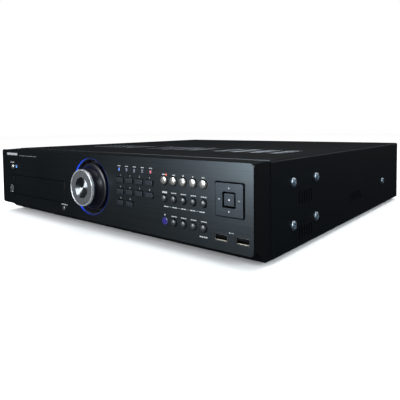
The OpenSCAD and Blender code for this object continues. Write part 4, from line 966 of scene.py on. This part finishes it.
# ---------------------------------------------------------------- rear details

REAR_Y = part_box("rear_panel")[1].y
PAN_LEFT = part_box("base_pan")[0].x
SOCKET_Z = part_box("rear_sockets")[0].z
AUDIO_JACKS = [m for m in RECORD["mounts"] if m["name"].startswith("audio_jack")]
ALARM_X = PAN_LEFT + 252 * MM


def video_jack_places():
    """The columns and the two rows of the video jacks, from the box round their flanges."""
    low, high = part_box("video_jacks")
    flange = 7.0 * MM
    span = high.x - low.x - 2 * flange
    return [low.x + flange + span * i / 8 for i in range(9)], (low.z + flange, high.z - flange)


def video_jack_details():
    """A white insulator and a gold pin socket in each video jack."""
    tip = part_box("video_jacks")[1].y - 2.0 * MM
    throat, collar, root, lead = 2.3 * MM, 2.46 * MM, REAR_Y + 4.05 * MM, 0.1 * MM
    pin_r, pin_tip_r, pin_out = 0.75 * MM, 0.55 * MM, 0.4 * MM
    columns, rows = video_jack_places()
    white, pins = bmesh.new(), bmesh.new()
    for x in columns:
        for z in rows:
            turned(white, (x, z), [
                (0.0, tip + 0.08 * MM), (throat, tip + 0.08 * MM), (collar, tip - lead), (collar, root),
                (throat, root), (throat, tip - lead), (0.0, tip - lead)], 24)
            turned(pins, (x, z), [
                (0.0, tip + pin_out), (pin_tip_r, tip + pin_out), (pin_r, tip + pin_out / 2),
                (pin_r, tip), (0.0, tip)], 16)
    add_piece("video_insulators", finish_mesh(white, "video_insulators"), WHITE_PLASTIC, "root")
    add_piece("video_pins", finish_mesh(pins, "video_pins"), GOLD, "root")


def audio_rings():
    """A coloured ring round each audio jack; the last one is red."""
    inner, outer, near, far = 4.2 * MM, 5.6 * MM, REAR_Y + 1.0 * MM, REAR_Y + 2.2 * MM
    for i, jack in enumerate(AUDIO_JACKS):
        bm = bmesh.new()
        turned(bm, (jack["pos_m"][0], jack["pos_m"][2]),
               [(inner, near), (outer, near), (outer, far), (inner, far), (inner, near)], 40)
        name, last = f"audio_ring_{i + 1}", i == len(AUDIO_JACKS) - 1
        add_piece(name, finish_mesh(bm, name), RED_PLASTIC if last else WHITE_PLASTIC, "root")


def alarm_block():
    """The terminals' green shell, open at each wire hole, with a clamp screw over each hole."""
    half, height, skin = 36 * MM, 15 * MM, 0.06 * MM
    hole_low, hole_high, hole_half = SOCKET_Z + 2.0 * MM, SOCKET_Z + 6.5 * MM, 1.8 * MM
    near, far, roof = REAR_Y + 1.2 * MM, REAR_Y + 8.0 * MM, SOCKET_Z + height
    screw_z, screw_r, screw_edge, screw_out = SOCKET_Z + 10.6 * MM, 1.5 * MM, 0.2 * MM, 0.5 * MM
    left, right, face = ALARM_X - half, ALARM_X + half, (far, far + skin)
    block, screws = bmesh.new(), bmesh.new()
    slab(block, (left - skin, right + skin), (near, far + skin), (roof, roof + skin))
    slab(block, (left - skin, left), (near, far + skin), (SOCKET_Z, roof))
    slab(block, (right, right + skin), (near, far + skin), (SOCKET_Z, roof))
    slab(block, (left, right), face, (hole_high, roof))
    slab(block, (left, right), face, (SOCKET_Z, hole_low))
    ways = [ALARM_X + 5.08 * MM * (i - 6.5) for i in range(14)]
    edges = [left] + [x + side * hole_half for x in ways for side in (-1, 1)] + [right]
    for start, end in zip(edges[::2], edges[1::2]):
        slab(block, (start, end), face, (hole_low, hole_high))
    for x in ways:
        turned(screws, (x, screw_z), [
            (0.0, far + screw_out), (screw_r - screw_edge, far + screw_out),
            (screw_r, far + screw_out - screw_edge), (screw_r, far + skin), (0.0, far + skin)], 20)
    add_piece("alarm_block_shell", finish_mesh(block, "alarm_block_shell", False), GREEN_PLASTIC, "root")
    add_piece("alarm_screws", finish_mesh(screws, "alarm_screws"), FINISHES["small_screw_steel"], "root")


def inlet_pins():
    """Plating on the three flat pins of the mains inlet."""
    low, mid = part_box("ac_inlet")[0], middle("ac_inlet")
    half_w, half_h, pitch, rise = 1.05 * MM, 2.05 * MM, 7 * MM, 2 * MM
    front, back = low.y + 3.1 * MM, REAR_Y - 2.95 * MM
    pins = bmesh.new()
    for i, up in ((-1, -1), (0, 1), (1, -1)):
        x, z = mid.x + pitch * i, mid.z + rise * up
        slab(pins, (x - half_w, x + half_w), (front, back), (z - half_h, z + half_h))
    add_piece("inlet_pins", finish_mesh(pins, "inlet_pins", False), FINISHES["jack_nickel"], "root")


def rear_legends():
    """Bars over and under the video jacks and the audio jacks, and words over the sockets."""
    marks = Legend(REAR_Y + INK_T)
    columns, rows = video_jack_places()
    away, inlet = 9.0 * MM, middle("ac_inlet")
    for x in columns:
        marks.bar(x, rows[0] - away, 4.0 * MM, 1.0 * MM)
        marks.bar(x, rows[1] + away, 4.0 * MM, 1.0 * MM)
    for place, width, level in ((26, 9, 18), (50, 9, 19.5), (74, 9, 11), (106, 12, 16.5), (252, 30, 18.5)):
        marks.words(PAN_LEFT + place * MM, SOCKET_Z + level * MM, width, 1.1)
    for jack in AUDIO_JACKS:
        marks.bar(jack["pos_m"][0], SOCKET_Z + 21.5 * MM, 4.5 * MM, 1.0 * MM)
    marks.words(inlet.x, inlet.z + 14.5 * MM, 14.0, 1.2)
    marks.bar(PAN_LEFT + 60 * MM, SOCKET_Z + 27.0 * MM, 26.0 * MM, 0.3 * MM)
    marks.done("rear_legends", INK, "root")


video_jack_details()
audio_rings()
alarm_block()
inlet_pins()
rear_legends()


# ---------------------------------------------------------------- camera, light and floor

def studio_floor():
    bm = bmesh.new()
    half = 6.0
    corners = [bm.verts.new((x * half, y * half, 0.0)) for x, y in ((-1, -1), (1, -1), (1, 1), (-1, 1))]
    bm.faces.new(corners)
    floor = bpy.data.objects.new("studio_floor", finish_mesh(bm, "studio_floor", False))
    bpy.context.collection.objects.link(floor)
    surface = Finish("pale_floor", 0.7, Specular_IOR_Level=0.0)
    cloud = surface.noise(even(3.0), 2.0)
    surface.paint(surface.blend(cloud, (0.96, 0.96, 0.96), (0.985, 0.985, 0.985)))
    floor.data.materials.append(surface.material)
    floor.visible_glossy = False


def softbox(name, place, target, size, power, colour=(1.0, 1.0, 1.0)):
    data = bpy.data.lights.new(name, "AREA")
    data.shape = "RECTANGLE"
    data.size, data.size_y = size
    data.energy = power
    data.color = colour
    lamp = bpy.data.objects.new(name, data)
    bpy.context.collection.objects.link(lamp)
    lamp.location = place
    lamp.rotation_euler = (Vector(target) - Vector(place)).to_track_quat("-Z", "Y").to_euler()


def sky():
    """White to the eye and on matt surfaces, and dark in reflections."""
    white, dark = (1.0, 1.0, 1.0, 1.0), (0.016, 0.018, 0.022, 1.0)
    world = bpy.data.worlds.new("studio")
    bpy.context.scene.world = world
    world.use_nodes = True
    tree = world.node_tree
    background = next(n for n in tree.nodes if n.type == "BACKGROUND")
    path = tree.nodes.new("ShaderNodeLightPath")
    reflected, seen = [tree.nodes.new("ShaderNodeMix") for _ in range(2)]
    reflected.data_type = seen.data_type = "RGBA"
    reflected.inputs[6].default_value = white
    reflected.inputs[7].default_value = dark
    seen.inputs[7].default_value = white
    tree.links.new(path.outputs["Is Glossy Ray"], reflected.inputs["Factor"])
    tree.links.new(path.outputs["Is Camera Ray"], seen.inputs["Factor"])
    tree.links.new(reflected.outputs[2], seen.inputs[6])
    tree.links.new(seen.outputs[2], background.inputs["Color"])


def camera():
    """Stands in front and to the right, a little above the top, looking slightly down."""
    data = bpy.data.cameras.new("photo_camera")
    data.lens = 36.84
    data.sensor_width = 36.0
    data.shift_y = -0.1375
    yaw, pitch, roll = 0.6889, 0.0447, -0.0102
    forward = Vector((-math.sin(yaw) * math.cos(pitch), math.cos(yaw) * math.cos(pitch), -math.sin(pitch)))
    right = forward.cross(Vector((0, 0, 1))).normalized()
    up = right.cross(forward)
    side = right * math.cos(roll) + up * math.sin(roll)
    top = up * math.cos(roll) - right * math.sin(roll)
    matrix = Matrix((side, top, -forward)).transposed().to_4x4()
    matrix.translation = (0.3975, -0.5063, 0.1228)
    eye = bpy.data.objects.new("photo_camera", data)
    bpy.context.collection.objects.link(eye)
    eye.matrix_world = matrix
    bpy.context.scene.camera = eye


studio_floor()
sky()
camera()
bpy.context.scene.view_settings.view_transform = "Standard"
softbox("front_box", (-0.3, -1.5, 0.42), (0.15, -0.2, 0.05), (0.45, 0.9), 22.0, (0.92, 0.96, 1.0))
softbox("top_box", (0.1, 0.3, 1.6), (0.0, 0.1, 0.0), (1.4, 0.9), 16.0)
softbox("back_box", (1.2, 1.7, 0.8), (0.1, 0.2, 0.05), (0.7, 0.7), 3.5)
softbox("right_box", (1.5, -0.75, 0.75), (0.2, -0.1, 0.05), (0.7, 0.5), 14.0, (0.82, 0.94, 1.0))
